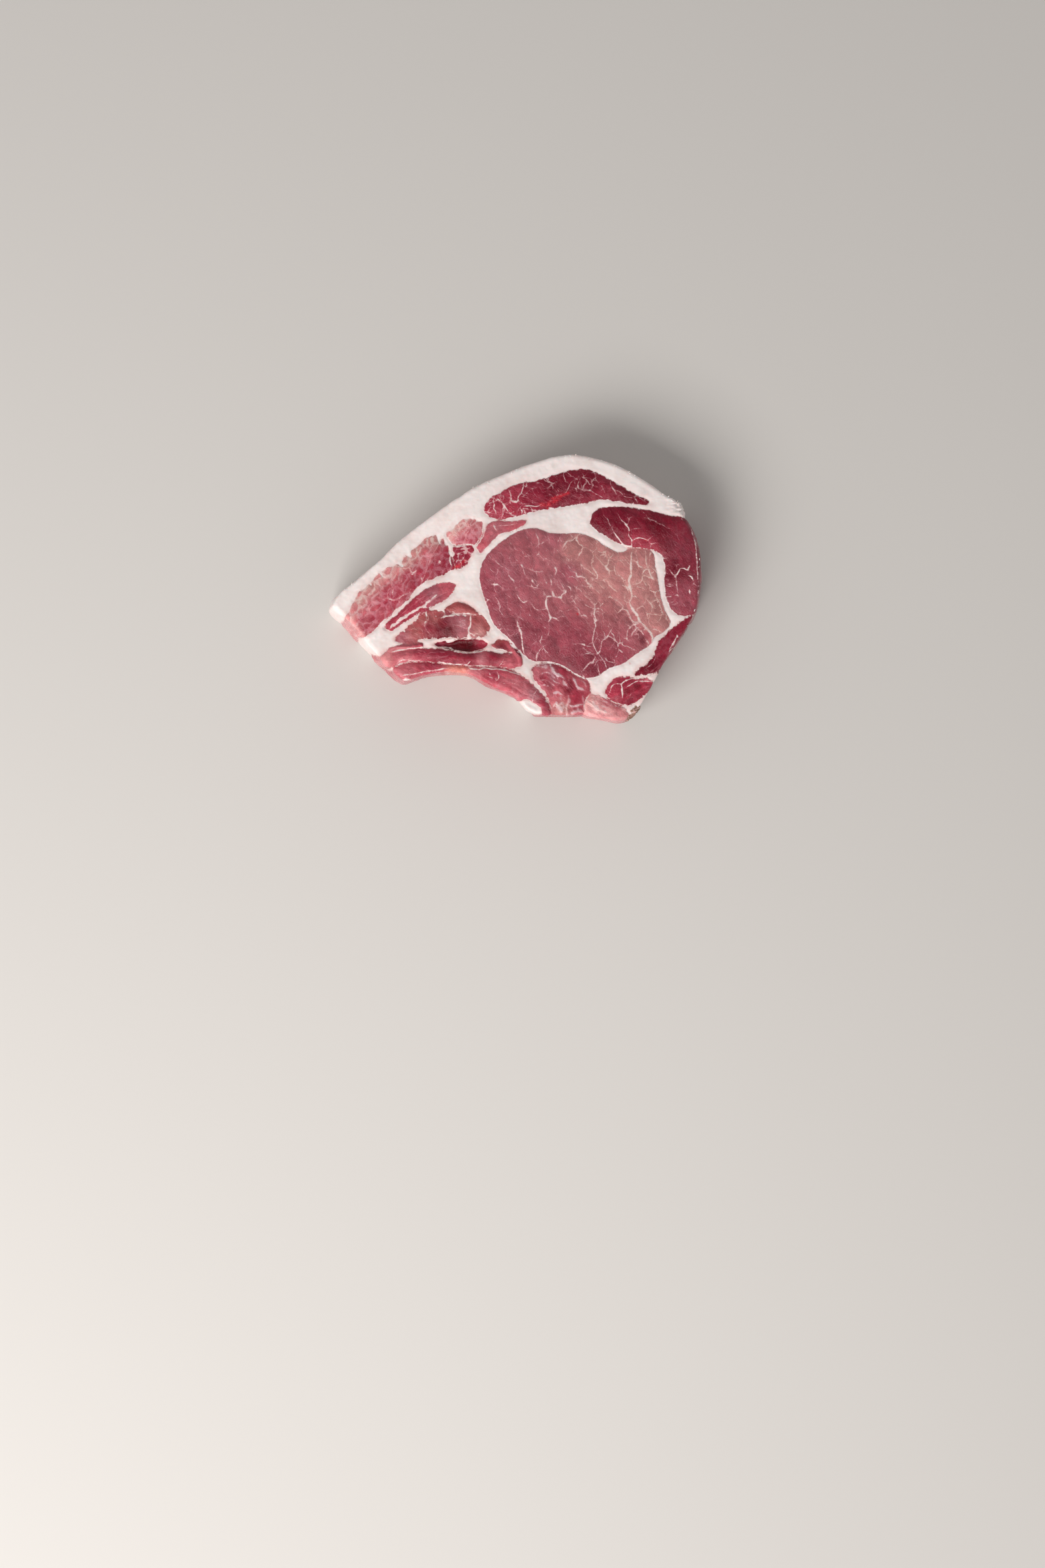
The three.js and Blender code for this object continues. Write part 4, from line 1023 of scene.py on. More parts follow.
tone = np.zeros((len(places), 3))
grain = np.zeros((len(places), 3))
build = np.zeros((len(places), 4))
bundle = np.zeros(len(places))
crown = np.zeros(len(places))
border_look = np.zeros((len(places), 3))
share = np.repeat(RISE, AROUND)
outer = np.zeros(len(places))
outer[:upper_start] = np.clip((SIDE_TOP - share) / SIDE_TOP_FADE, 0, 1)
outer[:upper_start] *= np.clip(share / SIDE_FOOT_FADE, 0, 1)
seam = np.zeros(len(places))
other_muscle = owner[links[:, 0]] != owner[links[:, 1]]
seam[np.unique(links[other_muscle & ~on_upper_face[links].any(axis=1)])] = 1
seam[np.unique(links[other_muscle | on_membrane[links].any(axis=1)])] = 0.5
seam[on_membrane] = 1
for number, name in enumerate(MUSCLES):
    look = LOOKS[name]
    mine = owner == number
    weights = np.zeros(mine.sum())
    mixed = np.zeros((mine.sum(), 7))
    for pixel_x, pixel_y, colour, kind in look["spots"]:
        gap = np.linalg.norm(flat[mine] - on_face([(pixel_x, pixel_y)]), axis=1)
        weight = 1 / (gap + SPOT_BLUR) ** 3
        mixed += weight[:, None] * np.array([*linear(colour), *kind])
        weights += weight
    mixed /= weights[:, None]
    tone[mine] = mixed[:, :3]
    build[mine] = mixed[:, 3:]
    turn = math.radians(look["fibres"])
    grain[mine, 0] = flat[mine] @ (math.cos(turn), math.sin(turn))
    grain[mine, 1] = flat[mine] @ (-math.sin(turn), math.cos(turn))
    grain[mine, 2] = 0.3 * places[mine, 2] + BUILD_APART * number
    bundle[mine] = look["bundle"]
    inside_meat[mine] += look["wider"]
    crown[mine] = look["crown"]
    border_look[mine, :2] = (look["ragged"], look["rosy"])

# The deeper places darken the tone, and in the hollow, across the strand and under the nub this is painted
# shade
tone *= deep_and_shaded[:, None] ** (0.7, 1.3, 1.1)
for around, more, pixels in REACHES:
    inside_meat += more * np.exp(-(gaps_to(pixels) / around) ** 2)
seam *= np.clip((inside_meat + 0.8) / 0.5, 0, 1)
border_look[:, 2] = outer
tone *= 1 - outer[:, None] * (0.12, 0.28, 0.24)
border_look = drawn(drawn(border_look, 0.5), 0.5)

# The relief of the cut faces and the side
# Soft waves all over, a shallow groove where meat meets fat, strands that stand up, and threads that show.
# Heights are in millimetres.
WAVE = 0.2
FINE_WAVE = 0.07
GROOVE = 0.14
THREAD_RISE = 0.03
FOLDS = 1.1
SIDE_WAVE = 0.6
SIDE_BULGE = 0.3
RIDGE_RISE = 0.18
STRAND_RISE = 0.6
CAP_END = (1022, 760)  # pixel at the middle of the cap's ragged cut end
FOLDS_REACH = 4.0  # mm around it

strand = fractal_at(grain * (0.07, 0.5, 0.1), 0.9, 3)
wave = fractal_at(places, 1.0, 4, 6)
fine_wave = fractal_at(places, 0.8, 3, 1.6, (9, 3, 5))
deep_inside = 1 - np.exp(-np.maximum(inside_meat, 0) / 1.1)
groove = np.exp(-(inside_meat / 0.7) ** 2)
raised = np.clip(1 - np.maximum(to_thread, 0) / 0.4, 0, 1) * whiteness
folds = fractal_at(places * (0.25, 0.9, 0.12) + (0, 0, 7), 0.8, 3)
at_flap = np.exp(-(np.linalg.norm(flat - on_face([CAP_END]), axis=1) / FOLDS_REACH) ** 2)
lift = WAVE * wave + FINE_WAVE * fine_wave - GROOVE * groove + THREAD_RISE * raised + FOLDS * at_flap * folds
slow_places = (places * (1, 1, 0.6)).tolist()
slow_wave = np.array([noise.noise(Vector(place) / 9 + Vector((2, 7, 1))) for place in slow_places])
lift += outer * (SIDE_WAVE * slow_wave + SIDE_BULGE * deep_inside - SIDE_BULGE / 2)
lift += RIDGE_RISE * np.maximum(glow - 0.5, 0) / 0.5
lift += deep_inside * (crown + STRAND_RISE * build[:, 3] * (np.minimum(np.abs(strand), 0.4) ** 0.7 - 0.3))


def smooth(mesh):
    """Shades a mesh as one smooth surface."""
    mesh.polygons.foreach_set("use_smooth", np.ones(len(mesh.polygons), dtype=bool))


chop_mesh = bpy.data.meshes.new("chop_flesh")
chop_mesh.from_pydata((places * MM).tolist(), [], triangles.tolist())
chop_mesh.update()
normals = np.empty(len(places) * 3, dtype=np.float32)
chop_mesh.vertices.foreach_get("normal", normals)
lift = np.where(resting, 0, lift)
places = places + lift[:, None] * normals.reshape(-1, 3)
places[:, 2] = np.maximum(places[:, 2], 0)
chop_mesh.vertices.foreach_set("co", (places * MM).astype(np.float32).ravel())
smooth(chop_mesh)
for name, values in (
    ("inside_meat", inside_meat),
    ("to_thread", to_thread),
    ("whiteness", whiteness),
    ("bundle", bundle),
    ("strand", strand),
    ("strand_share", build[:, 3]),
    ("blood", blood),
    ("seam", seam),
    ("glow", glow),
    ("grain", grain),
    ("border_look", border_look),
    ("marbling", build[:, :3]),
    ("tone", tone),
):
    kind, field = ("FLOAT", "value") if values.ndim == 1 else ("FLOAT_VECTOR", "vector")
    attribute = chop_mesh.attributes.new(name, kind, "POINT")
    attribute.data.foreach_set(field, values.astype(np.float32).ravel())
chop_mesh.update()
chop = added("chop_flesh", chop_mesh)

# The flesh's material
# Moist lean and waxy fat in one material: the border wanders a little, and the lean gets its fibres,
# bundles, grains and threads from the attributes of the skin.
WAXY_WHITE = (0.83, 0.755, 0.745, 1)
WAXY_PINK = (0.76, 0.66, 0.645, 1)
KNIFE_SMEAR = (0.88, 0.83, 0.82, 1)
FAT_BY_MEAT = (0.66, 0.36, 0.34, 1)
THREAD_WHITE = (0.79, 0.66, 0.64, 1)
RIDGE_WHITE = (0.72, 0.54, 0.57, 1)
SEAM_WHITE = (0.74, 0.52, 0.5, 1)
BLOOD_RED = (0.55, 0.02, 0.035, 1)
FILM_ON_FAT = (0.72, 0.57, 0.545, 1)
FILM_ON_MEAT = (0.62, 0.42, 0.42, 1)
UNDER_SURFACE = (1.0, 0.35, 0.28)  # how far red, green and blue light spreads in flesh, as shares
DRAWN_OUT = 0.35  # how fast the border's raggedness changes down the side, against along it
HALVES = (0.5, 0.5, 0.5)


def node(tree, kind, inputs=None, **settings):
    """Adds a node with its settings, its inputs fed by values or by the sockets of other nodes."""
    made = tree.nodes.new(kind)
    for name, value in settings.items():
        setattr(made, name, value)
    for key, source in (inputs or {}).items():
        if isinstance(source, bpy.types.NodeSocket):
            tree.links.new(source, made.inputs[key])
        else:
            made.inputs[key].default_value = source
    return made


def calc(tree, operation, *sources):
    """A Math node's result."""
    return node(tree, "ShaderNodeMath", dict(enumerate(sources)), operation=operation).outputs[0]


def times(tree, a, b):
    """The product of two numbers."""
    return calc(tree, "MULTIPLY", a, b)


def vector_calc(tree, operation, *sources):
    """A Vector Math node's result."""
    return node(tree, "ShaderNodeVectorMath", dict(enumerate(sources)), operation=operation).outputs[0]


def scaled(tree, vector, by):
    return node(tree, "ShaderNodeVectorMath", {0: vector, "Scale": by}, operation="SCALE").outputs[0]


def ramp(tree, value, low, high, start=0.0, end=1.0):
    """Eases from start to end while the value goes from low to high."""
    inputs = {"Value": value, "From Min": low, "From Max": high, "To Min": start, "To Max": end}
    return node(tree, "ShaderNodeMapRange", inputs, interpolation_type="SMOOTHSTEP").outputs["Result"]


def blended(tree, share, a, b, way="MIX"):
    """A mix of two colours."""
    made = node(tree, "ShaderNodeMix", data_type="RGBA", blend_type=way)
    for socket, source in zip((made.inputs[0], made.inputs[6], made.inputs[7]), (share, a, b)):
        if isinstance(source, bpy.types.NodeSocket):
            tree.links.new(source, socket)
        else:
            socket.default_value = source
    return made.outputs[2]


def attribute_of(tree, name, output="Fac"):
    return node(tree, "ShaderNodeAttribute", attribute_name=name).outputs[output]


def noise_of(tree, vector, scale, detail=3.0, roughness=0.55, output="Fac"):
    inputs = {"Vector": vector, "Scale": scale, "Detail": detail, "Roughness": roughness}
    return node(tree, "ShaderNodeTexNoise", inputs).outputs[output]


def new_material(name):
    """A material, its empty node tree, and the place on the object in millimetres."""
    made = bpy.data.materials.new(name)
    made.use_nodes = True
    made.node_tree.nodes.clear()
    where = node(made.node_tree, "ShaderNodeTexCoord").outputs["Object"]
    return made, made.node_tree, scaled(made.node_tree, where, 1 / MM)


def surfaced(tree, height, strength, distance, inputs):
    """Ends a material with a bump, whose distance is in metres, and the surface's other inputs."""
    bump = node(tree, "ShaderNodeBump", {"Height": height, "Strength": strength, "Distance": distance})
    skin = node(tree, "ShaderNodeBsdfPrincipled", {"Normal": bump.outputs["Normal"], **inputs})
    node(tree, "ShaderNodeOutputMaterial", {"Surface": skin.outputs[0]})


def new_group(name, inputs, outputs):
    """An empty node group, with what comes into it and what it puts out."""
    made = bpy.data.node_groups.new(name, "ShaderNodeTree")
    for label, kind in inputs.items():
        made.interface.new_socket(label, in_out="INPUT", socket_type="NodeSocket" + kind)
    for label, kind in outputs.items():
        made.interface.new_socket(label, in_out="OUTPUT", socket_type="NodeSocket" + kind)
    return made, made.nodes.new("NodeGroupInput").outputs, made.nodes.new("NodeGroupOutput").inputs


def grouped(tree, group, **inputs):
    """A node group in use."""
    return node(tree, "ShaderNodeGroup", inputs, node_tree=group).outputs


# Grains: short white slivers along the fibres, one for each cell of an uneven pattern
grains, given, put = new_group(
    "grains_of_fat",
    {"Place": "Vector", "Spacing": "Vector", "Length": "Float", "Width": "Float", "Share": "Float"},
    {"Mask": "Float"},
)
cells = vector_calc(grains, "DIVIDE", given["Place"], given["Spacing"])
cell = node(grains, "ShaderNodeTexVoronoi", {"Vector": cells, "Scale": 1.0}, voronoi_dimensions="2D")
apart = vector_calc(grains, "SUBTRACT", cells, cell.outputs["Position"])
apart = vector_calc(grains, "MULTIPLY", apart, given["Spacing"])
offset = node(grains, "ShaderNodeSeparateXYZ", {0: apart}).outputs
chance = node(grains, "ShaderNodeSeparateColor", {0: cell.outputs["Color"]}).outputs
half_length = times(grains, given["Length"], calc(grains, "MULTIPLY_ADD", chance[0], 0.9, 0.35))
half_width = times(grains, given["Width"], calc(grains, "MULTIPLY_ADD", chance[1], 0.9, 0.4))
along = calc(grains, "DIVIDE", offset[0], half_length)
across = calc(grains, "DIVIDE", offset[1], half_width)
oval = calc(grains, "ADD", times(grains, along, along), times(grains, across, across))
sliver = ramp(grains, oval, 0.0, 1.3, 1.0, 0.0)
chosen = ramp(grains, calc(grains, "SUBTRACT", given["Share"], chance[2]), 0.0, 0.5)
grains.links.new(times(grains, sliver, chosen), put["Mask"])

# Bundles: an uneven pattern of rounded cells, with the distance to the nearest edge in millimetres
bundles, given, put = new_group(
    "bundles_of_fibres",
    {"Place": "Vector", "Size": "Float"},
    {"Edge": "Float", "Middle": "Float", "Chance": "Float", "Aside": "Float"},
)
per_size = calc(bundles, "DIVIDE", 1.0, given["Size"])
cells = scaled(bundles, given["Place"], per_size)
cell = node(bundles, "ShaderNodeTexVoronoi", {"Vector": cells, "Scale": 1.0}, voronoi_dimensions="2D")
edges = node(bundles, "ShaderNodeTexVoronoi", {"Vector": cells, "Scale": 1.0}, voronoi_dimensions="2D",
             feature="DISTANCE_TO_EDGE")
apart = vector_calc(bundles, "SUBTRACT", cells, cell.outputs["Position"])
bundles.links.new(times(bundles, edges.outputs["Distance"], given["Size"]), put["Edge"])
bundles.links.new(cell.outputs["Distance"], put["Middle"])
chance = node(bundles, "ShaderNodeSeparateColor", {0: cell.outputs["Color"]}).outputs[0]
bundles.links.new(chance, put["Chance"])
bundles.links.new(node(bundles, "ShaderNodeSeparateXYZ", {0: apart}).outputs[1], put["Aside"])

# Wandering edge: a soft mask where a distance is above zero, moved about by a noise
wandering, given, put = new_group(
    "wandering_edge",
    {"Distance": "Float", "Place": "Vector", "Reach": "Float", "Scale": "Float", "Softness": "Float"},
    {"Mask": "Float"},
)
wander = noise_of(wandering, given["Place"], given["Scale"], 3.0, 0.65)
wander = times(wandering, calc(wandering, "SUBTRACT", wander, 0.5), given["Reach"])
moved = calc(wandering, "ADD", given["Distance"], wander)
backwards = times(wandering, given["Softness"], -1.0)
wandering.links.new(ramp(wandering, moved, backwards, given["Softness"]), put["Mask"])

# Fat: waxy white, a little pink in places, with faint smears from the knife
fat_look, given, put = new_group("waxy_fat", {"Place": "Vector"}, {"Colour": "Color", "Height": "Float"})
clouds = ramp(fat_look, noise_of(fat_look, given["Place"], 0.13, 3.0, 0.6), 0.35, 0.7)
smear_place = vector_calc(fat_look, "MULTIPLY", given["Place"], (0.2, 1.1, 0.4))
smears = noise_of(fat_look, smear_place, 1.0, 3.0, 0.6)
fat_colour = blended(fat_look, clouds, WAXY_WHITE, WAXY_PINK)
fat_colour = blended(fat_look, ramp(fat_look, smears, 0.5, 0.8, 0.0, 0.25), fat_colour, KNIFE_SMEAR)
fat_look.links.new(fat_colour, put["Colour"])
fat_look.links.new(smears, put["Height"])

flesh, tree, place = new_material("pork_flesh")
grain_at = attribute_of(tree, "grain", "Vector")
net_share, grain_share, lobe_share = node(
    tree, "ShaderNodeSeparateXYZ", {0: attribute_of(tree, "marbling", "Vector")}
).outputs

# Where two muscles meet, their fibres' directions don't, so no pattern that follows them is drawn there
seam_at = attribute_of(tree, "seam")
settled = ramp(tree, seam_at, 0.1, 0.45, 1.0, 0.0)
at_seam = ramp(tree, seam_at, 0.55, 0.95)

# The fibres bend slowly, and the bundles' edges wander more closely
slow = vector_calc(tree, "SUBTRACT", noise_of(tree, grain_at, 0.07, 1.0, 0.5, "Color"), HALVES)
straight = vector_calc(tree, "MULTIPLY_ADD", slow, (5.0, 5.0, 0.0), grain_at)
curls = vector_calc(tree, "SUBTRACT", noise_of(tree, grain_at, 0.28, 1.0, 0.5, "Color"), HALVES)
bent = vector_calc(tree, "MULTIPLY_ADD", curls, (2.4, 2.4, 0.0), straight)
quick = vector_calc(tree, "SUBTRACT", noise_of(tree, grain_at, 0.6, 3.0, 0.65, "Color"), HALVES)
crinkle = calc(tree, "MULTIPLY_ADD", lobe_share, -1.0, 1.9)
crinkled = vector_calc(tree, "ADD", scaled(tree, quick, crinkle), bent)
patches = noise_of(tree, bent, 0.16, 2.0, 0.6)

stretched = vector_calc(tree, "MULTIPLY", crinkled, (0.62, 1.0, 1.0))
bundle_size = attribute_of(tree, "bundle")
lobes = grouped(tree, bundles, Place=stretched, Size=bundle_size)
mottle = noise_of(tree, crinkled, 0.55, 4.0, 0.65)
edge_width = ramp(tree, calc(tree, "ADD", patches, mottle), 0.85, 1.25, -0.16, 0.12)
edge_width = calc(tree, "MULTIPLY_ADD", calc(tree, "SUBTRACT", net_share, 0.7), 0.3, edge_width)
corner_width = times(tree, ramp(tree, lobes["Middle"], 0.5, 0.85, 0.0, 0.5),
                    ramp(tree, patches, 0.42, 0.6, 0.2, 1.0))
edge_width = calc(tree, "MULTIPLY_ADD", lobe_share, calc(tree, "ADD", corner_width, -0.1), edge_width)
tone_at = attribute_of(tree, "tone", "Color")
paleness = node(tree, "ShaderNodeSeparateXYZ", {0: tone_at}).outputs[1]
softness = calc(tree, "MULTIPLY_ADD", paleness, 0.8, 0.22)
net_start = calc(tree, "MULTIPLY_ADD", lobe_share, -0.2, -0.24)
net_mask = ramp(tree, calc(tree, "SUBTRACT", edge_width, lobes["Edge"]), net_start, 0.14)
net_mask = times(tree, net_mask, calc(tree, "MINIMUM", net_share, 1.0))
band_width = ramp(tree, mottle, 0.35, 0.65, 0.05, 0.7)
band_mask = ramp(tree, calc(tree, "SUBTRACT", band_width, lobes["Edge"]), -0.3, 0.45)
band_mask = times(tree, band_mask, lobe_share)

# Stars: marks with three arms and a thick middle, where three small cells meet
star_place = vector_calc(tree, "MULTIPLY", bent, (0.7, 1.0, 1.0))
stars = grouped(tree, bundles, Place=star_place, Size=3.6)
arms = ramp(tree, stars["Middle"], 0.5, 0.85, -0.4, 0.26)
arms = calc(tree, "ADD", arms, ramp(tree, mottle, 0.4, 0.65, -0.25, 0.02))
star_mask = ramp(tree, calc(tree, "SUBTRACT", arms, stars["Edge"]), -0.2, 0.2)

# Streaks: the cut fibres themselves, as fine pale lines that all run one way
streak_place = vector_calc(tree, "MULTIPLY", straight, (0.5, 4.0, 0.2))
streaks = ramp(tree, noise_of(tree, streak_place, 1.0, 2.0, 0.6), 0.52, 0.72)
streaks = times(tree, streaks, ramp(tree, patches, 0.3, 0.65, 0.5, 0.25))

slivers = grouped(tree, grains, Place=bent, Spacing=(4.2, 1.8, 1.0), Length=1.1, Width=0.13,
                  Share=ramp(tree, patches, 0.3, 0.65, 0.8, 0.35))
grain_mask = calc(tree, "MAXIMUM", times(tree, slivers["Mask"], 0.6), streaks)
grain_mask = calc(tree, "MAXIMUM", grain_mask, times(tree, star_mask, 0.7))
grain_mask = times(tree, grain_mask, grain_share)

thread_distance = times(tree, attribute_of(tree, "to_thread"), -1.0)
thread_mask = grouped(tree, wandering, Distance=thread_distance, Place=place, Reach=0.45, Scale=1.5,
                      Softness=softness)
thread_mask = times(tree, thread_mask["Mask"], attribute_of(tree, "whiteness"))
crumbs = noise_of(tree, place, 1.5, 3.0, 0.7)
thread_mask = times(tree, thread_mask, ramp(tree, crumbs, 0.3, 0.5, 0.72, 1.0))

white = calc(tree, "MAXIMUM", times(tree, net_mask, 0.7), grain_mask)
white = calc(tree, "MAXIMUM", times(tree, white, settled), thread_mask)

# Meat reaches further where a bundle's middle lies on the border, and frays along its fibres
fibres = noise_of(tree, vector_calc(tree, "MULTIPLY", bent, (0.5, 2.8, 0.2)), 1.0, 3.0, 0.65)
lobed_border = times(tree, calc(tree, "SUBTRACT", 0.42, lobes["Middle"]), lobe_share)
frayed = times(tree, calc(tree, "SUBTRACT", fibres, 0.5), 0.35)
frayed = calc(tree, "MULTIPLY_ADD", lobed_border, 1.6, frayed)
border = calc(tree, "MULTIPLY_ADD", frayed, settled, attribute_of(tree, "inside_meat"))
ragged, rosy, outer = node(
    tree, "ShaderNodeSeparateXYZ", {0: attribute_of(tree, "border_look", "Vector")}
).outputs
ragged = times(tree, ragged, calc(tree, "MULTIPLY_ADD", outer, -0.4, 1.0))
blurred = calc(tree, "MULTIPLY_ADD", outer, 0.45, 0.25)
face_kept = (0.0, 0.0, (1 - DRAWN_OUT) * THICKNESS)
drawn_out = vector_calc(tree, "MULTIPLY_ADD", place, (1.0, 1.0, DRAWN_OUT), face_kept)
meat = grouped(tree, wandering, Distance=border, Place=drawn_out, Reach=ragged, Scale=0.5,
               Softness=blurred)["Mask"]
near_meat = ramp(tree, noise_of(tree, place, 0.5), 0.3, 0.7, 0.4, 1.0)
near_meat = times(tree, ramp(tree, border, -2.2, 0.1), near_meat)
near_meat = times(tree, near_meat, rosy)
mottle_and_side_light = ramp(tree, mottle, 0.3, 0.7, 0.88, 1.12)
mottle_and_side_light = times(tree, mottle_and_side_light, ramp(tree, fibres, 0.3, 0.7, 0.94, 1.06))
# Each bundle gets its own tone, and a gradient across it: painted light and shade on its rounded form
bundle_tone_and_side_light = calc(tree, "MULTIPLY_ADD", lobes["Chance"], 0.2, -0.1)
bundle_tone_and_side_light = calc(tree, "MULTIPLY_ADD", lobes["Aside"], -0.35, bundle_tone_and_side_light)
bundle_tone_and_side_light = times(tree, bundle_tone_and_side_light, ramp(tree, lobes["Edge"], 0.0, 0.8))
mottle_and_side_light = calc(tree, "MULTIPLY_ADD", mottle_and_side_light, bundle_tone_and_side_light, mottle_and_side_light)
mottle_and_side_light = calc(tree, "MULTIPLY_ADD", calc(tree, "SUBTRACT", mottle_and_side_light, 1.0), settled, 1.0)
red = scaled(tree, tone_at, mottle_and_side_light)
tender = vector_calc(tree, "MULTIPLY_ADD", tone_at, (1.25, 2.0, 1.8), (0.08, 0.035, 0.038))
fatty = vector_calc(tree, "MULTIPLY_ADD", tone_at, (1.1, 2.3, 2.1), (0.13, 0.1, 0.1))
lobed = times(tree, lobe_share, settled)
# The lobed bundles are paler on one side: painted light on their rounded form, together with their
# translucency
lit_side_of_bundle = times(tree, ramp(tree, lobes["Aside"], -0.25, 0.4, 0.0, 0.45), lobed)
red = blended(tree, lit_side_of_bundle, red, tender)
band_share = times(tree, times(tree, band_mask, 0.7), settled)
red = blended(tree, band_share, red, fatty)
glow_at = attribute_of(tree, "glow")
haze = times(tree, glow_at, ramp(tree, mottle, 0.35, 0.65, 0.3, 0.95))
red = blended(tree, haze, red, tender)
ridge = calc(tree, "ADD", glow_at, calc(tree, "MULTIPLY_ADD", mottle, 1.2, -0.6))
ridge = times(tree, ramp(tree, ridge, 0.5, 0.95), ramp(tree, fibres, 0.35, 0.65, 0.6, 1.0))
ridge = times(tree, ridge, ramp(tree, glow_at, 0.2, 0.5))
red = blended(tree, ridge, red, RIDGE_WHITE)
strand_place = vector_calc(tree, "MULTIPLY", bent, (0.2, 1.3, 0.3))
strand_noise = noise_of(tree, strand_place, 1.0)
strand_noise = calc(tree, "MULTIPLY_ADD", attribute_of(tree, "strand"), 0.3, strand_noise)
strand_gap = ramp(tree, strand_noise, 0.5, 0.66)
strand_gap = times(tree, strand_gap, attribute_of(tree, "strand_share"))
strand_gap = times(tree, strand_gap, settled)

waxy = grouped(tree, fat_look, Place=place)
pinkish = blended(tree, times(tree, near_meat, 0.75), waxy["Colour"], FAT_BY_MEAT)
white = calc(tree, "MAXIMUM", white, times(tree, strand_gap, 0.6))
white = times(tree, white, calc(tree, "MULTIPLY_ADD", outer, -0.6, 1.0))
lean = blended(tree, ramp(tree, white, 0.06, 0.6, 0.0, 0.9), red, tender)
lean = blended(tree, ramp(tree, white, 0.35, 1.0), lean, THREAD_WHITE)
colour = blended(tree, meat, pinkish, lean)
seam_line = blended(tree, ramp(tree, noise_of(tree, place, 0.6, 2.0), 0.38, 0.6), tone_at, SEAM_WHITE)
colour = blended(tree, at_seam, colour, seam_line)
bloody = times(tree, attribute_of(tree, "blood"), ramp(tree, mottle, 0.4, 0.55, 0.35, 0.95))
colour = blended(tree, bloody, colour, BLOOD_RED)

# A thin dull film of tissue lies on the side
film = noise_of(tree, vector_calc(tree, "MULTIPLY", place, (1.0, 1.0, 0.3)), 0.2, 5.0, 0.7)
film = times(tree, ramp(tree, film, 0.38, 0.62, 0.1, 0.6), outer)
film_colour = blended(tree, meat, FILM_ON_FAT, blended(tree, 0.6, tone_at, FILM_ON_MEAT))
colour = blended(tree, film, colour, film_colour)

fibre_height = times(tree, fibres, times(tree, settled, 0.5))
height = calc(tree, "MULTIPLY_ADD", white, 0.25, fibre_height)
height = calc(tree, "MULTIPLY_ADD", crumbs, 0.8, height)
height = calc(tree, "MULTIPLY_ADD", times(tree, lobed, lobes["Middle"]), -0.5, height)
height = times(tree, height, meat)
height = calc(tree, "MULTIPLY_ADD", waxy["Height"], 0.2, height)
gloss = ramp(tree, noise_of(tree, place, 0.5), 0.3, 0.7, 0.16, 0.36)
gloss = calc(tree, "MULTIPLY_ADD", calc(tree, "SUBTRACT", 1.0, meat), 0.16, gloss)
surfaced(tree, height, 0.8, 0.0003, {
    "Base Color": colour,
    "Roughness": gloss,
    "Subsurface Weight": 0.3,
    "Subsurface Radius": UNDER_SURFACE,
    "Subsurface Scale": 0.001,
    "Specular IOR Level": 0.24,
})
chop_mesh.materials.append(flesh)
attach(chop, "root")
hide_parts(*sorted(set(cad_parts) - {"bone_chip"}))

# The chip of bone
# A splinter of the spine's bone, broken by the cleaver: rough and grey-brown, with shreds of pink and
# white tissue on it. It sits in the corner of the meat and stands a little out of it.
CHIP_CELL = 0.3  # mm between the points of its skin
CHIP_OUT = 0.35  # mm that it stands out of the meat
CHIP_ROUGH = 0.45  # mm by which its surface rises and falls
BONE_DARK = (0.16, 0.065, 0.035, 1)
BONE_PALE = (0.36, 0.2, 0.14, 1)
SHRED_PINK = (0.62, 0.36, 0.34, 1)
SHRED_WHITE = (0.78, 0.66, 0.63, 1)


def applied(thing, modifier):
    """Gives an object the mesh that its modifier makes, in place of the modifier."""
    thing.data = bpy.data.meshes.new_from_object(thing.evaluated_get(bpy.context.evaluated_depsgraph_get()))
    thing.modifiers.remove(modifier)
    return thing.data


chip_corners, chip_triangles = welded("bone_chip")
chip_mesh = bpy.data.meshes.new("bone_chip_skin")
chip_corners = blown_up(chip_corners, chip_triangles, CHIP_OUT)
chip_mesh.from_pydata((chip_corners * MM).tolist(), [], chip_triangles.tolist())
chip = added("bone_chip_skin", chip_mesh)
remesh = chip.modifiers.new("even", "REMESH")
remesh.mode = "VOXEL"
remesh.voxel_size = CHIP_CELL * MM
chip_mesh = applied(chip, remesh)
for corner in chip_mesh.vertices:
    at = corner.co / MM
    streaky = abs(noise.noise(Vector((at.x, at.y, 0.25 * at.z)) / 0.6))
    rough = noise.fractal(at / 1.3, 0.7, 2.0, 4) - 0.3 * streaky
    corner.co += CHIP_ROUGH * rough * MM * corner.normal
    corner.co.z = max(corner.co.z, 0)
smooth(chip_mesh)
chip_mesh.update()

bone, tree, place = new_material("raw_bone")
pores = noise_of(tree, place, 1.6, 4.0, 0.7)
shreds = noise_of(tree, vector_calc(tree, "MULTIPLY", place, (0.5, 1.2, 0.3)), 0.7, 3.0, 0.65)
bone_colour = blended(tree, ramp(tree, pores, 0.3, 0.65), BONE_DARK, BONE_PALE)
bone_colour = blended(tree, ramp(tree, shreds, 0.5, 0.62), bone_colour, SHRED_PINK)
bone_colour = blended(tree, ramp(tree, shreds, 0.64, 0.72), bone_colour, SHRED_WHITE)
surfaced(tree, pores, 1.0, 0.0004, {
    "Base Color": bone_colour,
    "Roughness": ramp(tree, pores, 0.3, 0.7, 0.7, 0.45),
    "Specular IOR Level": 0.3,
})
chip_mesh.materials.append(bone)
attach(chip, "root")
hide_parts("bone_chip")

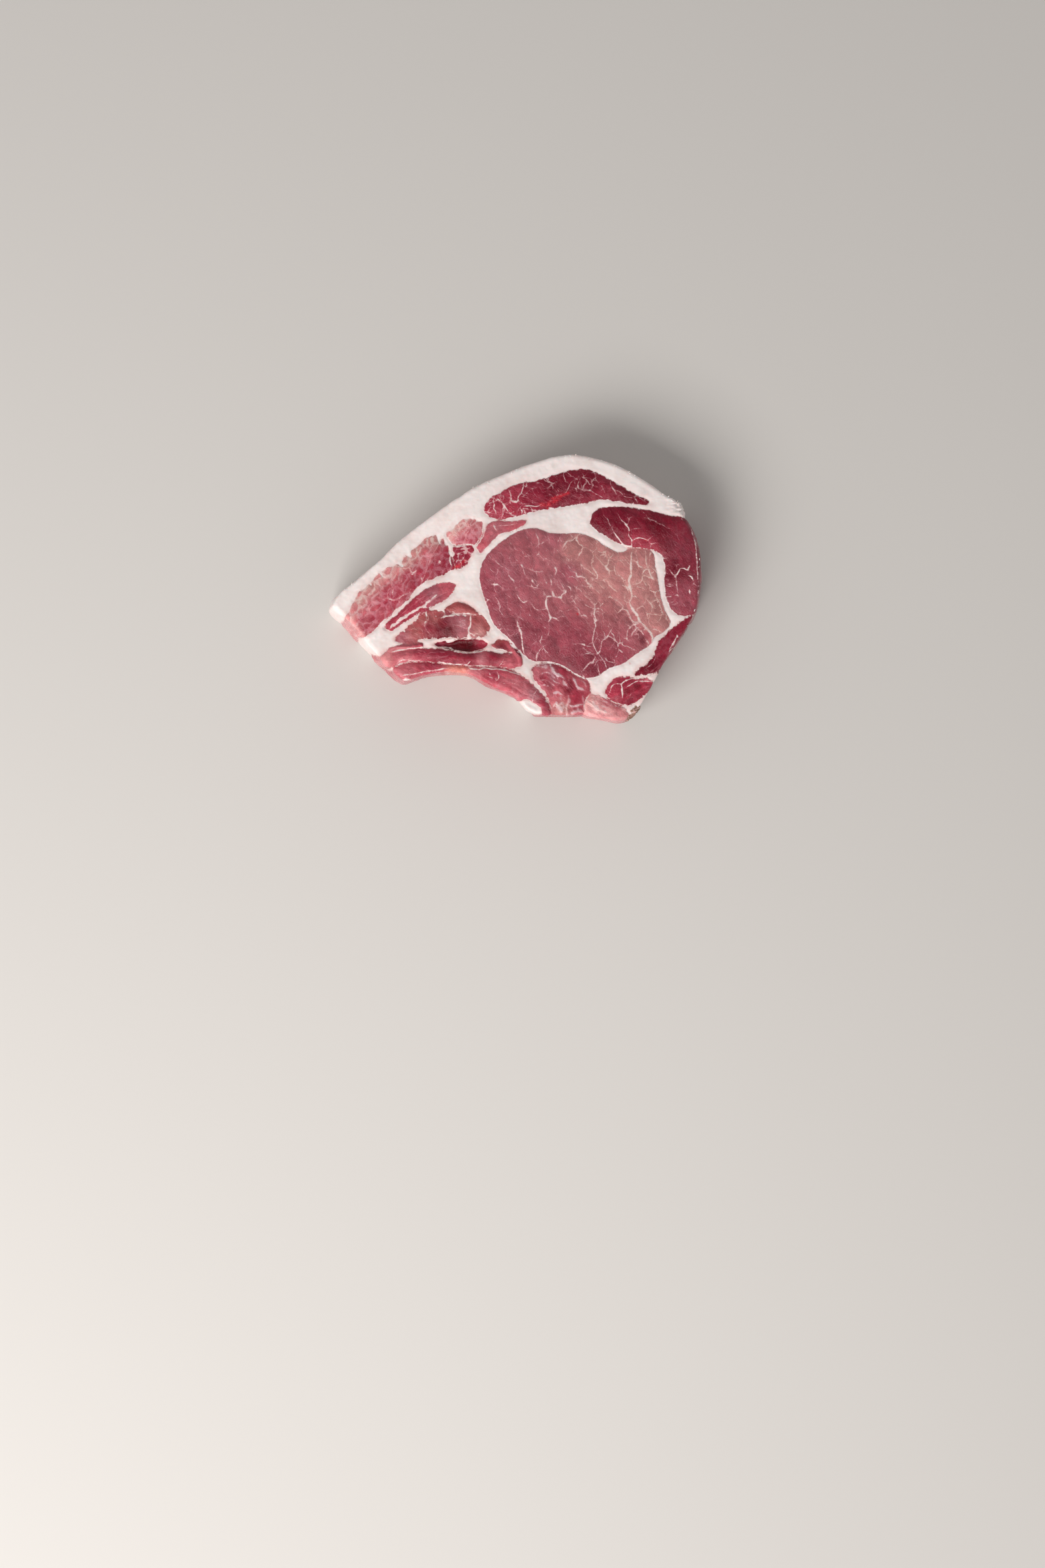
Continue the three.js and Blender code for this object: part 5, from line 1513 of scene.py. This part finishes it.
# The burrs of fat
# The knife leaves small shreds hanging along the cap's cut edge, thickest towards its ragged end.
BURR_COURSES = [  # pixels along the cap's edge, and how many burrs there are on them
    ([(845, 679), (880, 684), (915, 697), (950, 714), (985, 736), (1012, 756)], 60),
    ([(1018, 751), (1027, 755), (1028, 765), (1026, 774)], 26),
    ([(700, 733), (720, 722), (745, 709), (790, 690)], 14),
    ([(510, 872), (522, 863), (535, 852)], 8),
    ([(1046, 800), (1050, 830), (1049, 880), (1040, 930), (1022, 965), (1003, 1000)], 26),
]
BURR_SIZE = 0.0003  # metres across half a burr
BURR_SPREAD = 0.35  # mm that they stray from the edge
BURR_DROP = 0.4  # mm that they hang below it
BURR_ROUGHNESS = 1.1
BURR_GRAIN = 3000.0  # bumps on a burr for each metre
BURR_SEED = 5
FULL_TURN = 6.28


def rim_near(points):
    """The points moved onto the edge of the upper face as the skin has it."""
    rim = places[last_ring:upper_start]
    return rim[np.argmin(np.linalg.norm(rim[None, :, :2] - points[:, None], axis=2), axis=1)]


burr_places = []
for pixels, count in BURR_COURSES:
    course = curve_through(on_face(pixels))
    chosen = course[random.integers(0, len(course), count)]
    strayed_by = random.normal(0, BURR_SPREAD, (count, 3)) * (1, 1, 1.6)
    burr_places.append(rim_near(chosen) + strayed_by - (0, 0, BURR_DROP))
burr_mesh = bpy.data.meshes.new("fat_burrs")
burr_mesh.from_pydata((np.concatenate(burr_places) * MM).tolist(), [], [])
burrs = added("fat_burrs", burr_mesh)

scatter = bpy.data.node_groups.new("burrs_of_fat", "GeometryNodeTree")
for label, kind, way in (
    ("Geometry", "NodeSocketGeometry", "INPUT"), ("Size", "NodeSocketFloat", "INPUT"),
    ("Roughness", "NodeSocketFloat", "INPUT"), ("Seed", "NodeSocketInt", "INPUT"),
    ("Material", "NodeSocketMaterial", "INPUT"), ("Geometry", "NodeSocketGeometry", "OUTPUT"),
):
    scatter.interface.new_socket(label, in_out=way, socket_type=kind)
given = scatter.nodes.new("NodeGroupInput").outputs
lump = node(scatter, "GeometryNodeMeshIcoSphere", {"Radius": given["Size"], "Subdivisions": 2})
where = scatter.nodes.new("GeometryNodeInputPosition").outputs[0]
rough = node(scatter, "ShaderNodeTexNoise", {"Vector": where, "Scale": BURR_GRAIN, "Detail": 2.0})
rough = vector_calc(scatter, "SUBTRACT", rough.outputs["Color"], HALVES)
rough = scaled(scatter, rough, times(scatter, given["Size"], given["Roughness"]))
lump = node(scatter, "GeometryNodeSetPosition", {"Geometry": lump.outputs["Mesh"], "Offset": rough})
points = node(scatter, "GeometryNodeMeshToPoints", {"Mesh": given["Geometry"]})
turn, spread = (
    node(scatter, "FunctionNodeRandomValue", {0: least, 1: most, "Seed": given["Seed"]},
         data_type="FLOAT_VECTOR")
    for least, most in (((0.0,) * 3, (FULL_TURN,) * 3), ((0.6, 0.2, 0.2), (3.0, 0.6, 0.5)))
)
placed = node(scatter, "GeometryNodeInstanceOnPoints", {
    "Points": points.outputs[0],
    "Instance": lump.outputs[0],
    "Rotation": turn.outputs[0],
    "Scale": spread.outputs[0],
})
real = node(scatter, "GeometryNodeRealizeInstances", {"Geometry": placed.outputs[0]})
painted = node(scatter, "GeometryNodeSetMaterial", {
    "Geometry": real.outputs[0],
    "Material": given["Material"],
})
scatter.links.new(painted.outputs[0], scatter.nodes.new("NodeGroupOutput").inputs[0])

shred_fat, tree, place = new_material("shreds_of_fat")
waxy = grouped(tree, fat_look, Place=place)
surfaced(tree, waxy["Height"], 0.5, 0.0002, {
    "Base Color": waxy["Colour"],
    "Roughness": ramp(tree, waxy["Height"], 0.3, 0.7, 0.5, 0.7),
    "Subsurface Weight": 0.3,
    "Subsurface Radius": UNDER_SURFACE,
    "Subsurface Scale": 0.0005,
    "Specular IOR Level": 0.2,
})

growth = burrs.modifiers.new("burrs", "NODES")
growth.node_group = scatter
sockets = {item.name: item.identifier for item in scatter.interface.items_tree if item.in_out == "INPUT"}
growth[sockets["Size"]] = BURR_SIZE
growth[sockets["Roughness"]] = BURR_ROUGHNESS
growth[sockets["Seed"]] = BURR_SEED
growth[sockets["Material"]] = shred_fat
smooth(applied(burrs, growth))
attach(burrs, "root")

# The floor
# A pale plain surface under the chop, level with its lower face.
FLOOR_SIZE = 3.0
FLOOR_DROP = 0.0001  # metres that it lies lower, so that it never shows through
FLOOR_COLOUR = (0.6, 0.58, 0.56, 1)

bpy.ops.mesh.primitive_plane_add(size=FLOOR_SIZE, location=(0, 0, -FLOOR_DROP))
floor = bpy.context.object
floor.name = "floor"
floor_paint = bpy.data.materials.new("floor_paint")
floor_paint.use_nodes = True
paint_inputs = floor_paint.node_tree.nodes["Principled BSDF"].inputs
paint_inputs["Base Color"].default_value = FLOOR_COLOUR
paint_inputs["Roughness"].default_value = 0.85
floor.data.materials.append(floor_paint)

# The light
# One large soft window to the lower left of the picture, and the room's own light from all round,
# which is dimmer overhead.
world = bpy.data.worlds.new("room")
world.use_nodes = True
tree = world.node_tree
towards = node(tree, "ShaderNodeTexCoord").outputs["Generated"]
upward = node(tree, "ShaderNodeSeparateXYZ", {0: towards}).outputs[2]
backdrop = tree.nodes["Background"]
backdrop.inputs["Color"].default_value = (1.0, 0.98, 0.96, 1)
tree.links.new(ramp(tree, upward, 0.35, 0.95, 0.8, 0.12), backdrop.inputs["Strength"])
bpy.context.scene.world = world
window = bpy.data.lights.new("window", "AREA")
window.shape = "RECTANGLE"
window.size = 0.9
window.size_y = 0.7
window.energy = 16
window.color = (1.0, 0.97, 0.94)
window_lamp = added("window", window)
window_lamp.location = (-0.55, -0.75, 0.85)
window_lamp.rotation_euler = (Vector((0, 0, 0)) - window_lamp.location).to_track_quat("-Z", "Y").to_euler()
bpy.context.scene.view_settings.view_transform = "Standard"
